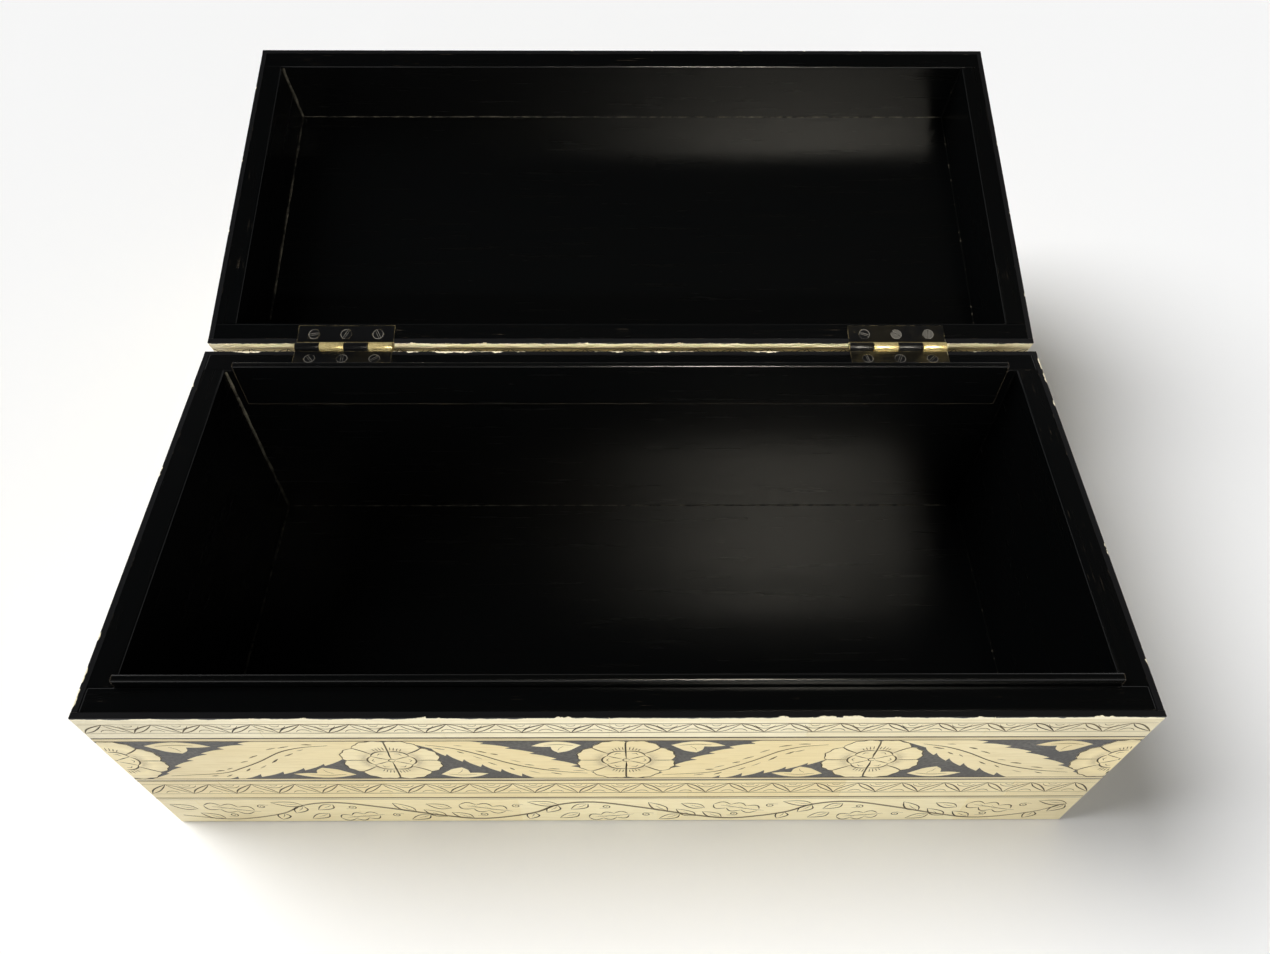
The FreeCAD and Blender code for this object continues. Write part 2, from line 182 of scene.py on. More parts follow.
def ebonised(name, turn_z, turn_x, rim, spread=0.2, bare_edge_share=0.55):
    """Black stained wood, its grain along X and then turned about X and Z. rim is the height of its rim."""
    black = (0.0011, 0.0013, 0.0014, 1.0)
    brown = (0.0013, 0.0013, 0.0012, 1.0)
    bare = (0.16, 0.125, 0.085, 1.0)
    material, tree, shader = new_material(name, specular_ior_level=0.5)
    place = object_place(tree)
    tilt = {"Vector": place, "Angle": turn_x}
    tilted = add(tree, "ShaderNodeVectorRotate", tilt, rotation_type="X_AXIS").outputs[0]
    turn = {"Vector": tilted, "Angle": turn_z}
    turned = add(tree, "ShaderNodeVectorRotate", turn, rotation_type="Z_AXIS").outputs[0]
    fibre = grained(tree, turned, 0.055, 0.0022)
    stained = mix(tree, ramp(tree, fibre["Streak"], 0.42, 0.78), black, brown)
    scratched = ramp(tree, noise(tree, place, 55.0, 4.0, 0.7), 0.56, 0.72, 0.0, 0.3)
    on_rim = reckon(tree, "COMPARE", parts_of(tree, tilted)["Z"], rim, board_edge)
    handled = reckon(tree, "MULTIPLY", on_rim, scratched)
    scratch = reckon(tree, "MULTIPLY", fibre["Pore"], handled)
    # bare wood along the edges; on the lips this is partly wear and partly a painted highlight along their
    # rounded edges
    rubbed = reckon(tree, "MULTIPLY", worn_edges(tree, place, 0.0007, spread), bare_edge_share)
    thin = reckon(tree, "MAXIMUM", rubbed, scratch)
    hollow = reckon(tree, "SUBTRACT", fibre["Streak"], fibre["Pore"])
    shown = {
        "Base Color": mix(tree, thin, stained, bare),
        "Roughness": ramp(tree, fibre["Streak"], 0.3, 0.8, 0.25, 0.285),
        "Normal": bump(tree, hollow, 0.015, 0.0003),
    }
    feed(tree, shader, shown)
    return material


def dress(node, finish, edge):
    """Gives a CAD piece its finish and breaks its sharp edges."""
    node.data.materials.clear()
    node.data.materials.append(finish)
    node.modifiers.new("weld", "WELD").merge_threshold = 1e-6
    rounding = node.modifiers.new("broken edges", "BEVEL")
    rounding.width = edge
    rounding.segments = 2
    rounding.limit_method = "ANGLE"


turned_axis = Matrix.Rotation(lid_angle, 3, "X") @ lid_axis
turned_rim = base_rim + rim_gap + turned_axis.z - lid_axis.z
base_long = ebonised("ebonised wood lengthwise", 0.0, 0.0, base_rim)
base_short = ebonised("ebonised wood crosswise", -math.pi / 2, 0.0, base_rim)
# the lips carry more bare lines along their edges, top and foot: partly wear, partly painted highlight for the
# light on their edges
lip_wood_worn_and_highlit = ebonised("ebonised lips with painted edge highlights", 0.0, 0.0, base_rim, 0.55, 0.8)
lid_long = ebonised("ebonised lid wood lengthwise", 0.0, lid_angle, turned_rim)
lid_short = ebonised("ebonised lid wood crosswise", -math.pi / 2, lid_angle, turned_rim)
for name, node in frame["nodes"].items():
    if not name.endswith(("_board", "_panel", "_lip")):
        continue
    crosswise = "left" in name or "right" in name
    if name.endswith("_lip"):
        wood = lip_wood_worn_and_highlit
    elif name.startswith("lid"):
        wood = lid_short if crosswise else lid_long
    else:
        wood = base_short if crosswise else base_long
    dress(node, wood, board_edge)


# Rows of bone blocks
# Flat slips of camel bone, sawn about five centimetres long, glued edge to edge and filed flush and smooth.
# Each slip has its own tone. Where a row meets a rim, its edge is painted black with the wood.
mm = 0.001  # in metres
slip_edge = 0.1  # broken off a slip's upper edge
cut_depth = 0.07
cut_proud = 0.012  # the filling of an engraved line stands up by a hair


def in_scene(name, data):
    """A new object in the scene."""
    made = bpy.data.objects.new(name, data)
    bpy.context.scene.collection.objects.link(made)
    return made


class Facing:
    """Closed pieces of facing, drawn flat in millimetres and gathered into one mesh."""

    def __init__(self, seed):
        self.points = []
        self.faces = []
        self.tones = []
        self.slots = []
        self.shades = []
        self.shade = 0.0
        # painted shade: darkens the bone towards the ends of a long side
        self.painted_end_shade = 0.0
        self.turn = Matrix.Identity(3)
        self.chance = random.Random(seed)

    def ring(self, outline, height):
        start = len(self.points)
        for u, v in outline:
            x, y, _ = self.turn @ Vector((u, v, 1.0))
            self.points.append((x * mm, y * mm, height * mm))
        return list(range(start, len(self.points)))

    def face(self, corners, tone, slot=0, shades=None):
        """One face. shades tells for each corner how much dirt and painted shade lie there."""
        self.faces.append(corners)
        self.tones.append(tone)
        self.slots.append(slot)
        self.shades += shades or [self.shade] * len(corners)

    def prism(self, outline, top, thickness, edge=slip_edge):
        """A flat piece with its upper edge broken."""
        inner, tone = self.walls(outline, top, thickness, edge)
        self.face(inner, tone, 0, self.soil_and_shade(outline))

    def lapped_prism(self, outline, top, thickness, rim, painted):
        """A flat piece painted where it meets a rim. The paint laps unevenly over the corner."""
        away = paint_lap if min(v for u, v in outline) == rim else -paint_lap
        outline = cross(outline, rim + away)
        inner, tone = self.walls(outline, top, thickness, slip_edge, painted)
        soil_and_shade = self.soil_and_shade(outline)
        small = 0.01
        depths = [abs(v - rim) for u, v in outline]
        bare = [i for i, depth in enumerate(depths) if depth > paint_lap - small]
        lapped = [i for i, depth in enumerate(depths) if depth < paint_lap + small]
        self.face([inner[i] for i in bare], tone, 0, [soil_and_shade[i] for i in bare])
        self.face([inner[i] for i in lapped], tone, 1, [depths[i] / paint_lap for i in lapped])

    def soil_and_shade(self, outline):
        """Dirt at each corner, and painted shade that darkens the bone towards the ends of a long side, where
        the light falls off.
        """
        return [self.shade + self.painted_end_shade * (abs(u) / half_length) ** 3 for u, v in outline]

    def shaded_prism(self, outline, top, thickness, middle, shares, shades, edge):
        """A flat piece shaded round its middle, in rings that are shares of the outline's own reach."""
        rim, tone = self.walls(outline, top, thickness, edge)
        drawn = shrink(outline, edge)
        rings = [rim] + [self.ring([middle + (p - middle) * share for p in drawn], top) for share in shares]
        levels = [self.soil_and_shade(outline)] + [[shade(p - middle) for p in drawn] for shade in shades]
        for outer, inner, far, near in zip(rings, rings[1:], levels, levels[1:]):
            for i in range(len(rim)):
                j = (i + 1) % len(rim)
                if (drawn[i] - middle).cross(drawn[j] - middle) > 1e-4:
                    soil_and_shade = [far[i], far[j], near[j], near[i]]
                    self.face([outer[i], outer[j], inner[j], inner[i]], tone, 0, soil_and_shade)
        self.face(rings[-1], tone, 0, levels[-1])

    def walls(self, outline, top, thickness, edge, painted=None):
        """All of a flat piece but its upper face. painted tells which edges take the second material."""
        tone = self.chance.random()
        count = len(outline)
        inner = self.ring(shrink(outline, edge), top)
        upper = self.ring(outline, top - edge)
        lower = self.ring(outline, top - thickness)
        self.face(lower[::-1], tone, 1 if painted else 0)
        for i in range(count):
            j = (i + 1) % count
            slot = 1 if painted and painted(outline[i], outline[j]) else 0
            self.face([upper[i], upper[j], inner[j], inner[i]], tone, slot)
            self.face([lower[i], lower[j], upper[j], upper[i]], tone, slot)
        return inner, tone

    def stroke(self, points, width, slot=0, top=cut_proud):
        """An engraved line with a V-shaped section, filled flush. It thins out towards its two ends."""
        spots = [Vector(point) for point in points]
        count = len(spots)
        left, right, low = [], [], []
        for i, spot in enumerate(spots):
            ahead = spots[min(i + 1, count - 1)] - spots[max(i - 1, 0)]
            if ahead.length < 1e-6:
                continue
            share = i / (count - 1)
            half = width / 2 * (0.3 + 0.7 * min(1.0, 4.0 * share, 4.0 * (1.0 - share)))
            side = Vector((-ahead.y, ahead.x)).normalized() * half
            left.append(spot + side)
            right.append(spot - side)
            low.append(spot)
        a, b = self.ring(left, top), self.ring(right, top)
        c = self.ring(low, top - cut_depth)
        tone = self.chance.random()
        self.face([a[0], c[0], b[0]], tone, slot)
        self.face([a[-1], b[-1], c[-1]], tone, slot)
        for i in range(len(a) - 1):
            self.face([b[i], b[i + 1], a[i + 1], a[i]], tone, slot)
            self.face([a[i], a[i + 1], c[i + 1], c[i]], tone, slot)
            self.face([c[i], c[i + 1], b[i + 1], b[i]], tone, slot)

    def finish(self, name, place, body, slot, *materials):
        """The gathered pieces as one object that rides on a body."""
        mesh = bpy.data.meshes.new(name)
        mesh.from_pydata(self.points, [], self.faces)
        tone = mesh.attributes.new("tone", "FLOAT", "FACE")
        tone.data.foreach_set("value", self.tones)
        shade = mesh.attributes.new("shade", "FLOAT", "CORNER")
        shade.data.foreach_set("value", self.shades)
        for material in materials:
            mesh.materials.append(material)
        mesh.polygons.foreach_set("material_index", self.slots)
        mesh.update()
        made = in_scene(name, mesh)
        made.matrix_world = place
        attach(made, body)
        return made


def shrink(outline, edge):
    """The outline drawn in by a small even margin."""
    spots = [Vector(point) for point in outline]
    drawn = []
    for i, spot in enumerate(spots):
        before = (spot - spots[i - 1]).normalized()
        after = (spots[(i + 1) % len(spots)] - spot).normalized()
        inward = Vector((-before.y - after.y, before.x + after.x))
        size = max(inward.length_squared, 0.8)
        drawn.append(spot + inward * (2 * edge / size))
    return drawn


def cross(outline, height):
    """The outline with a point added wherever it crosses a height."""
    made = []
    for here, there in zip(outline, outline[1:] + outline[:1]):
        made.append(here)
        if (here[1] - height) * (there[1] - height) < 0:
            share = (height - here[1]) / (there[1] - here[1])
            made.append((here[0] + (there[0] - here[0]) * share, height))
    return made


def mesh_value(tree, name):
    """A value that the mesh carries."""
    return add(tree, "ShaderNodeAttribute", {}, attribute_name=name).outputs["Fac"]


def bone_material(name, pale, warm, stain):
    """Polished bone: a tone for each slip, fine canals along it, faint yellow stains, and a darker colour where
    the shade value is higher, which paints settled dirt and painted shade both.
    """
    # settled dirt and painted shade share this colour
    grime_and_shade = (0.30, 0.245, 0.15, 1.0)
    material, tree, shader = new_material(name, specular_ior_level=0.42)
    place = object_place(tree)
    fibre = grained(tree, place, 0.016, 0.0011)
    cloud = noise(tree, place, 34.0, 3.0, 0.55)
    tone = reckon(tree, "ADD", mesh_value(tree, "tone"), cloud)
    body = mix(tree, ramp(tree, tone, 0.35, 1.45), pale, warm)
    streaked = mix(tree, ramp(tree, fibre["Streak"], 0.45, 0.85, 0.0, 0.4), body, stain)
    pored = mix(tree, reckon(tree, "MULTIPLY", fibre["Pore"], 0.3), streaked, stain)
    soil_and_shade = reckon(tree, "MULTIPLY", mesh_value(tree, "shade"), ramp(tree, cloud, 0.3, 0.7, 0.6))
    shown = {
        "Base Color": mix(tree, soil_and_shade, pored, grime_and_shade),
        "Roughness": ramp(tree, fibre["Streak"], 0.3, 0.8, 0.3, 0.48),
        "Normal": bump(tree, fibre["Pore"], 0.15, 0.0001, invert=True),
    }
    feed(tree, shader, shown)
    return material


def rim_paint():
    """Black paint over the edge of the bone, flaked off along its corner. It ends where the shade grows."""
    bone_colour = (0.84, 0.77, 0.55, 1.0)
    black = (0.006, 0.006, 0.0065, 1.0)
    material, tree, shader = new_material("chipped rim paint", specular_ior_level=0.33, roughness=0.42)
    place = object_place(tree)
    outer = ramp(tree, parts_of(tree, place)["Z"], -0.0022, 0.0, -0.2, 0.11)
    corner = reckon(tree, "ADD", noise(tree, place, 105.0, 4.0, 0.65), outer)
    reach = reckon(tree, "MULTIPLY_ADD", mesh_value(tree, "shade"), 0.4, corner)
    feed(tree, shader, {"Base Color": mix(tree, ramp(tree, reach, 0.685, 0.71), black, bone_colour)})
    return material


def upright(x, y, z, turn):
    """Stands a flat drawing up on a side of the chest, turned about Z in quarter turns from the front."""
    quarter = math.radians(90)
    return (
        Matrix.Translation((x * mm, y * mm, z * mm))
        @ Matrix.Rotation(turn * quarter, 4, "Z")
        @ Matrix.Rotation(quarter, 4, "X")
    )


bone = bone_material("bone", (0.91, 0.805, 0.51, 1.0), (0.83, 0.69, 0.37, 1.0), (0.54, 0.41, 0.18, 1.0))
grey_bone = bone_material(
    "weathered bone", (0.91, 0.835, 0.60, 1.0), (0.84, 0.75, 0.49, 1.0), (0.50, 0.41, 0.24, 1.0)
)
# a lighter copy of the bone for the scroll bands at the foot of the base: painted light, for the light the
# white floor throws up onto them
floor_lit_bone = bone_material(
    "bone with painted floor light", (0.96, 0.865, 0.56, 1.0), (0.91, 0.785, 0.46, 1.0), (0.60, 0.47, 0.22, 1.0)
)
paint = rim_paint()
low_corner, high_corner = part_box("base_front_scroll_band")
half_length = high_corner.x / mm
half_depth = -low_corner.y / mm
bone_depth = (high_corner.y - low_corner.y) / mm
short_reach = half_depth - bone_depth
base_height = base_rim / mm
slip_thickness = bone_depth - 0.02  # the rest is glue
lid_height = 38.0
lid_rim = base_height + rim_gap / mm
lac_line = 0.6
block_length = 54.0
shortest_block = 8.0
joint_wander = 5.0
# painted shade: the bone is darkened towards the ends of the long sides, where the light falls off
painted_end_shade = 0.4
back_grime = 0.2
paint_lap = 1.6
hinge_middle = 108.55
hinge_half = 19.1
leaf_pocket = 1.0
lid_open = (
    Matrix.Translation(lid_axis) @ Matrix.Rotation(-lid_angle, 4, "X") @ Matrix.Translation(-lid_axis)
)
side_places = {}  # on the base and on the open lid, with half the length of the facing
for side, x, y, turn, reach in (
    ("front", 0.0, -half_depth, 0, half_length),
    ("right", half_length, 0.0, 1, short_reach),
    ("back", 0.0, half_depth, 2, half_length),
    ("left", -half_length, 0.0, 3, short_reach),
):
    side_places[side] = (upright(x, y, 0.0, turn), lid_open @ upright(x, y, lid_rim, turn), reach)


def band(node):
    """Lower and upper edge of a band of the base, in millimetres above the underside."""
    low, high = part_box(node)
    return low.z / mm, high.z / mm


def cut_block(low_u, low_v, high_u, high_v, notch_v):
    """A block's outline, with the pockets for the hinge leaves taken out of the edge at notch_v."""
    if notch_v is None:
        return [(low_u, low_v), (high_u, low_v), (high_u, high_v), (low_u, high_v)]
    way = 1 if notch_v == high_v else -1
    edge = [(low_u, notch_v), (high_u, notch_v)]
    for middle in (-hinge_middle, hinge_middle):
        left = max(low_u, middle - hinge_half)
        right = min(high_u, middle + hinge_half)
        if left < right:
            inside = notch_v - way * leaf_pocket
            before = [(low_u, notch_v), (left, notch_v)] if left > low_u else []
            after = [(right, notch_v), (high_u, notch_v)] if right < high_u else []
            edge = before + [(left, inside), (right, inside)] + after
    if way > 0:
        return [(low_u, low_v), (high_u, low_v)] + edge[::-1]
    return edge + [(high_u, high_v), (low_u, high_v)]


def block_ends(reach, shift, chance):
    """Where the slips of a row meet, a little uneven."""
    count = max(1, round(2 * reach / block_length))
    pitch = 2 * reach / count
    wander = [chance.uniform(-joint_wander, joint_wander) for _ in range(count + 1)]
    inner = [(i + shift) * pitch - reach + wander[i] for i in range(count + 1)]
    return [-reach] + [u for u in inner if abs(u) < reach - shortest_block] + [reach]


def block_row(facing, reach, low, high, shift, rim=None, notched=False):
    """A row of slips between two heights. rim is the height of a painted edge."""

    def painted(first, second):
        near = abs(first[1] - rim) < 2 * leaf_pocket and abs(second[1] - rim) < 2 * leaf_pocket
        return near and first[0] != second[0]

    ends = block_ends(reach, shift, facing.chance)
    for left, right in zip(ends, ends[1:]):
        outline = cut_block(left, low, right, high, rim if notched else None)
        if rim is None:
            facing.prism(outline, 0.0, slip_thickness)
        else:
            facing.lapped_prism(outline, 0.0, slip_thickness, rim, painted)


top_border = base_height - band("base_front_top_border")[0]
for seed, (side, (base_place, lid_place, reach)) in enumerate(side_places.items()):
    for kind, shift, rim, tint in (
        ("top_border", 0.0, base_height, grey_bone),
        ("lower_border", 0.5, None, bone),
        # the scroll bands take the lighter bone, which paints the floor's bounce light
        ("scroll_band", 0.25, None, floor_lit_bone),
    ):
        node = f"base_{side}_{kind}"
        low, high = band(node)
        row = Facing(10 * seed + len(kind))
        # painted shade towards the ends of the row
        row.painted_end_shade = painted_end_shade
        row.shade = back_grime if side == "back" else 0.0
        block_row(row, reach, low, high, shift, rim, side == "back" and rim is not None)
        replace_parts(row.finish(f"{node}_slips", base_place, "base", "bone", tint, paint), node)
    for kind, shift, low, high, rim, tint in (
        ("rim_border", 0.3, 0.0, top_border, 0.0, grey_bone),
        ("scroll_band", 0.7, top_border + lac_line, lid_height - bone_depth, None, bone),
    ):
        node = f"lid_{side}_{kind}"
        row = Facing(50 + 10 * seed + len(kind))
        block_row(row, reach, low, high, shift, rim, side == "back" and rim is not None)
        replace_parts(row.finish(f"{node}_slips", lid_place, "lid", "bone", tint, paint), node)


# Frieze of bone flowers, leaves and sprigs in black lac
# The pieces are sawn from flat bone and glued down, and the ground between them is run in with hot black lac.
# Once hard, all is filed flush. Thin bone fillets and lac lines part the frieze from the rows of slips.
piece_thickness = bone_depth - 0.05
piece_edge = 0.12
strip_thickness = bone_depth - 0.1
strip_edge = 0.06
leaf_sink = 0.02  # below the flowers that lie over its ends
line_sink = 0.03  # lac shrinks as it cools
ground_sink = 0.05
rule_inset = 0.15  # of an engraved line from the edge that it follows
rule_steps = 24
upper_fillet = 1.7
lower_fillet = 1.4
scroll_fillet = 1.2
leaf_teeth = {"upper": (6, 2.3), "lower": (6, 2.5)}  # how many, and how long
tooth_shape = ((0.0, -0.5), (0.2, -0.15), (0.5, 0.18), (0.8, 0.36), (1.12, 0.5))  # along and outward
cut_swell = 1.2  # the lac in an engraved line bleeds a little beyond the cut
fillet_grime = 0.1
line_dust = 0.75  # in the lac line over the scroll band
front_flower_shares = (-1.0, -0.452, 0.0125, 0.5, 1.0)
short_flower_shares = (-1.0, 0.0, 1.0)
petal_ends = (90, 43, 0, -40, -90, -140, -180, -223, -270)  # degrees
# Start, pull and end of a leaf's two edges, as shares of the flowers' spacing and of the frieze's height
rising_edges = (((0.41, 1.03), (0.675, 0.785), (0.85, 0.15)), ((0.17, 0.52), (0.405, 0.085), (0.70, -0.02)))
falling_edges = (((0.29, 1.03), (0.625, 0.79), (0.85, 0.16)), ((0.18, 0.79), (0.335, 0.33), (0.63, -0.02)))
rising_rib = (
    (0.2, 0.885), (0.3, 0.835), (0.385, 0.72), (0.475, 0.49), (0.56, 0.31), (0.65, 0.165), (0.85, 0.09),
)
falling_rib = ((0.17, 0.9), (0.27, 0.82), (0.37, 0.67), (0.47, 0.47), (0.57, 0.32), (0.7, 0.2), (0.83, 0.14))
# A sprig's four runs between its sharp corners, as shares of the clear stretch and of the frieze's height
sprig_runs = (
    ((0.0, 0.885), (0.095, 0.955), (0.19, 0.975), (0.285, 0.94), (0.365, 0.862)),
    ((0.365, 0.862), (0.29, 0.84), (0.225, 0.843)),
    ((0.225, 0.843), (0.215, 0.76), (0.175, 0.69)),
    ((0.175, 0.69), (0.1, 0.735), (0.06, 0.79), (0.0, 0.885)),
)
sprig_start = 0.44


def curve(points, steps):
    """Points on a smooth curve through the given ones."""
    ends = [Vector(points[0]) * 2 - Vector(points[1])] + [Vector(p) for p in points]
    ends.append(Vector(points[-1]) * 2 - Vector(points[-2]))
    made = []
    for a, b, c, d in zip(ends, ends[1:], ends[2:], ends[3:]):
        for i in range(steps):
            t = i / steps
            bent = (2 * a - 5 * b + 4 * c - d) * t**2 + (3 * b - 3 * c + d - a) * t**3
            made.append(0.5 * (2 * b + (c - a) * t + bent))
    return made + [Vector(points[-1])]


def arc(middle, radius, start, end, steps):
    """Points on an arc, its angles in degrees."""
    turns = [math.radians(start + (end - start) * i / steps) for i in range(steps + 1)]
    return [Vector((middle[0] + radius * math.cos(a), middle[1] + radius * math.sin(a))) for a in turns]


def clip(outline, low_u, low_v, high_u, high_v):
    """The part of an outline inside a rectangle."""
    for axis, limit, way in ((0, low_u, 1), (0, high_u, -1), (1, low_v, 1), (1, high_v, -1)):
        kept = []
        for here, there in zip(outline, outline[1:] + outline[:1]):
            gap_here = (here[axis] - limit) * way
            gap_there = (there[axis] - limit) * way
            if gap_here >= 0:
                kept.append(Vector(here))
            if gap_here * gap_there < 0:
                kept.append(Vector(here).lerp(Vector(there), gap_here / (gap_here - gap_there)))
        outline = kept
    tidy = [p for i, p in enumerate(outline) if (p - outline[i - 1]).length > 0.02]
    area = sum(a.x * b.y - b.x * a.y for a, b in zip(tidy, tidy[1:] + tidy[:1]))
    return tidy if area > 0 else tidy[::-1]


class Frieze:
    """One stretch of frieze: adds its bone pieces to one facing and its engraved lines to another."""

    def __init__(self, pieces, lines, reach, low, high):
        self.pieces = pieces
        self.lines = lines
        self.limits = (-reach, low, reach, high)
        self.low = low
        self.height = high - low
        self.chance = pieces.chance

    def piece(self, outline, top):
        self.pieces.prism(clip(outline, *self.limits), top, piece_thickness, piece_edge)

    def engrave(self, points, width, slot=0):
        """A line, broken off where it leaves the frieze."""
        low_u, low_v, high_u, high_v = self.limits
        half = width * cut_swell / 2
        run = []
        for point in points:
            if low_u + half < point[0] < high_u - half and low_v < point[1] < high_v:
                run.append(point)
            elif len(run) > 1:
                break
        if len(run) > 1:
            self.lines.stroke(run, width * cut_swell, slot)

    def flower(self, u):
        """A flower of eight petals round a ring of six, split by a strong line from top to bottom.

        It is drawn in degrees and shares of its radius, and the widths of its lines are millimetres.
        """
        radius = self.height / 2
        middle = Vector((u, self.low + radius))

        def spot(angle, share):
            turn = math.radians(angle)
            return middle + Vector((math.cos(turn), math.sin(turn))) * radius * share

        outline = []
        steps = 12
        for start, end in zip(petal_ends, petal_ends[1:]):
            for i in range(steps):
                swell = math.sin(math.pi * i / steps) ** 0.6
                ripple = math.sin(6 * math.pi * i / steps) * swell
                outline.append(spot(start + (end - start) * i / steps, 0.925 + 0.115 * swell + 0.02 * ripple))
        self.pieces.shaded_prism(
            clip(outline, *self.limits),
            0.0,
            piece_thickness,
            middle,
            (0.72, 0.53, 0.47),
            (lambda p: 0.04, lambda p: 0.16 + 0.32 * abs(p.normalized().x), lambda p: 0.08),
            piece_edge,
        )
        rim = [middle + (p - middle) * 0.985 for p in outline]
        for k in range(len(petal_ends) - 1):
            self.engrave(rim[k * steps : (k + 1) * steps + 1], 0.34)
        slanted = [(angle, 0.48) for angle in (43, 137, -40, -140)]
        for angle, width in slanted + [(0, 0.36), (180, 0.36), (90, 0.46), (-90, 0.5)]:
            inner = 0.08 if abs(angle) == 90 else 0.49
            bend = self.chance.uniform(-2, 2)
            self.engrave(curve([spot(angle, inner), spot(angle + bend, 0.75), spot(angle, 0.955)], 5), width)
        for k in range(6):
            start = 30 + 60 * k
            scallop = [spot(start + 60 * i / 8, 0.445 + 0.05 * math.sin(math.pi * i / 8)) for i in range(9)]
            self.engrave(scallop, 0.5)
            self.engrave([spot(start, 0.09), spot(start + 1.5, 0.27), spot(start, 0.44)], 0.42)
            self.engrave([spot(start + 18, 0.36), spot(start + 30, 0.4), spot(start + 42, 0.36)], 0.32)
        self.engrave(arc(middle, 0.07 * radius, 0, 330, 10), 0.35)
        for foot in (90, -90):
            for k in range(-4, 5):
                if k:
                    angle = foot + 6.6 * k
                    far = 0.70 - 0.014 * abs(k) + self.chance.uniform(-0.02, 0.02)
                    self.engrave([spot(angle, 0.53), spot(angle, 0.6), spot(angle, far)], 0.3)
        for foot in (0, 180):
            for k in range(-5, 6):
                angle = foot + 5.2 * k
                far = 0.64 - 0.012 * abs(k) + self.chance.uniform(-0.03, 0.03)
                self.engrave([spot(angle, 0.515), spot(angle, far)], 0.22, 1)

    def leaf(self, root, apex, edges, rib):
        """A long leaf from the top of its root flower to the foot of the next, toothed towards its point."""

        def spot(share):
            return Vector((root + (apex - root) * share[0], self.low + self.height * share[1]))

        def toothed(shares, outward, teeth, fade):
            start, pull, end = (spot(share) for share in shares)
            count, length = teeth
            made = []
            for tooth in range(count):
                size = length * fade((tooth + 1) / count) * self.chance.uniform(0.75, 1.2)
                for share, lift in tooth_shape:
                    t = min(1.0, (tooth + share) / count)
                    ahead = ((pull - start) * (1 - t) + (end - pull) * t).normalized()
                    side = Vector((-ahead.y, ahead.x))
                    side *= math.copysign(1.0, side.y * outward)
                    edge = start * (1 - t) ** 2 + pull * 2 * t * (1 - t) + end * t**2
                    made.append(edge + side * size * lift)
            return made + [end]

        upper = toothed(edges[0], 1, leaf_teeth["upper"], lambda t: 0.75 + 0.3 * t)
        lower = toothed(edges[1], -1, leaf_teeth["lower"], lambda t: 0.65 + 0.4 * t)
        self.piece([spot((0.05, 1.03))] + upper + [spot((0.95, -0.03))] + lower[::-1], -leaf_sink)
        spine = curve([spot(share) for share in rib], 6)
        self.engrave(spine, 0.42)
        for k in range(14):
            share = 0.1 + 0.8 * k / 13 + self.chance.uniform(-0.03, 0.03)
            last = len(spine) - 1
            at = int(share * last)
            here = spine[at]
            ahead = (spine[min(at + 1, last)] - here).normalized()
            side = Vector((-ahead.y, ahead.x)) * (1 if k % 2 else -1)
            wide = self.chance.uniform(1.9, 3.9) * (1 - abs(share - 0.45))
            near = here + side * wide
            far = near + ahead * self.chance.uniform(2.2, 4.2) + side * self.chance.uniform(0.2, 0.9)
            midway = near.lerp(far, 0.5) + side * 0.1
            self.engrave([near, midway, far], self.chance.uniform(0.4, 0.65), k % 3 % 2)

    def sprig(self, flower, away, at_top, clear):
        """A two-lobed sprig beside a flower, at the top or the foot of the frieze."""

        def spot(share):
            high = share[1] if at_top else 1 - share[1]
            along = self.height * sprig_start + clear * share[0]
            return Vector((flower + away * along, self.low + self.height * high))

        outline = []
        for run in sprig_runs:
            outline += curve([spot(share) for share in run], 5)[:-1]
        self.piece(outline, -leaf_sink)
        self.engrave(curve([spot((0.06, 0.875)), spot((0.16, 0.905)), spot((0.27, 0.885))], 4), 0.2)
        self.engrave([spot((0.13, 0.86)), spot((0.165, 0.8)), spot((0.175, 0.745))], 0.16)

    def fill(self, flowers):
        """Leaves and sprigs between all the flowers, and then the flowers over their ends."""
        for k, (left, right) in enumerate(zip(flowers, flowers[1:])):
            clear = right - left - self.height
            if k % 2 == 0:
                root, apex, way = right, left, -1
                self.leaf(root, apex, rising_edges, rising_rib)
            else:
                root, apex, way = left, right, 1
                self.leaf(root, apex, falling_edges, falling_rib)
            self.sprig(root, way, False, clear)
            self.sprig(apex, -way, True, clear)
        for u in flowers:
            self.flower(u)


def strip(facing, reach, low, high, top):
    """One straight strip of bone or lac along a side."""
    outline = [(-reach, low), (reach, low), (reach, high), (-reach, high)]
    facing.prism(outline, top, strip_thickness, strip_edge)


def ruled(reach, height, wander=lambda: 0.0):
    """Points along a level line. wander says how far each strays from it."""
    return [(-reach + 2 * reach * i / rule_steps, height + wander()) for i in range(rule_steps + 1)]


def lac_material():
    """Black lac, rubbed down dull, with specks of dust ground into it, and more where its shade is higher."""
    dark = (0.058, 0.056, 0.054, 1.0)
    dusty = (0.12, 0.115, 0.105, 1.0)
    filled = (0.62, 0.56, 0.39, 1.0)
    material, tree, shader = new_material("black lac", specular_ior_level=0.35)
    place = object_place(tree)
    cloud = noise(tree, place, 90.0, 5.0, 0.62)
    speck = noise(tree, place, 900.0)
    specked = mix(tree, ramp(tree, reckon(tree, "MULTIPLY", cloud, speck), 0.16, 0.42), dark, dusty)
    shown = {
        "Base Color": mix(tree, mesh_value(tree, "shade"), specked, filled),
        "Roughness": ramp(tree, cloud, 0.0, 1.0, 0.42, 0.66),
        "Normal": bump(tree, speck, 0.1, 0.0001),
    }
    feed(tree, shader, shown)
    return material


def line_material(name, deep, worn):
    """Engraved lines rubbed with brown-black lac, paler where they have worn."""
    material, tree, shader = new_material(name, roughness=0.6, specular_ior_level=0.2)
    patch = noise(tree, object_place(tree), 160.0, 3.0)
    wear = ramp(tree, reckon(tree, "ADD", mesh_value(tree, "tone"), patch), 0.6, 1.5)
    feed(tree, shader, {"Base Color": mix(tree, wear, deep, worn)})
    return material


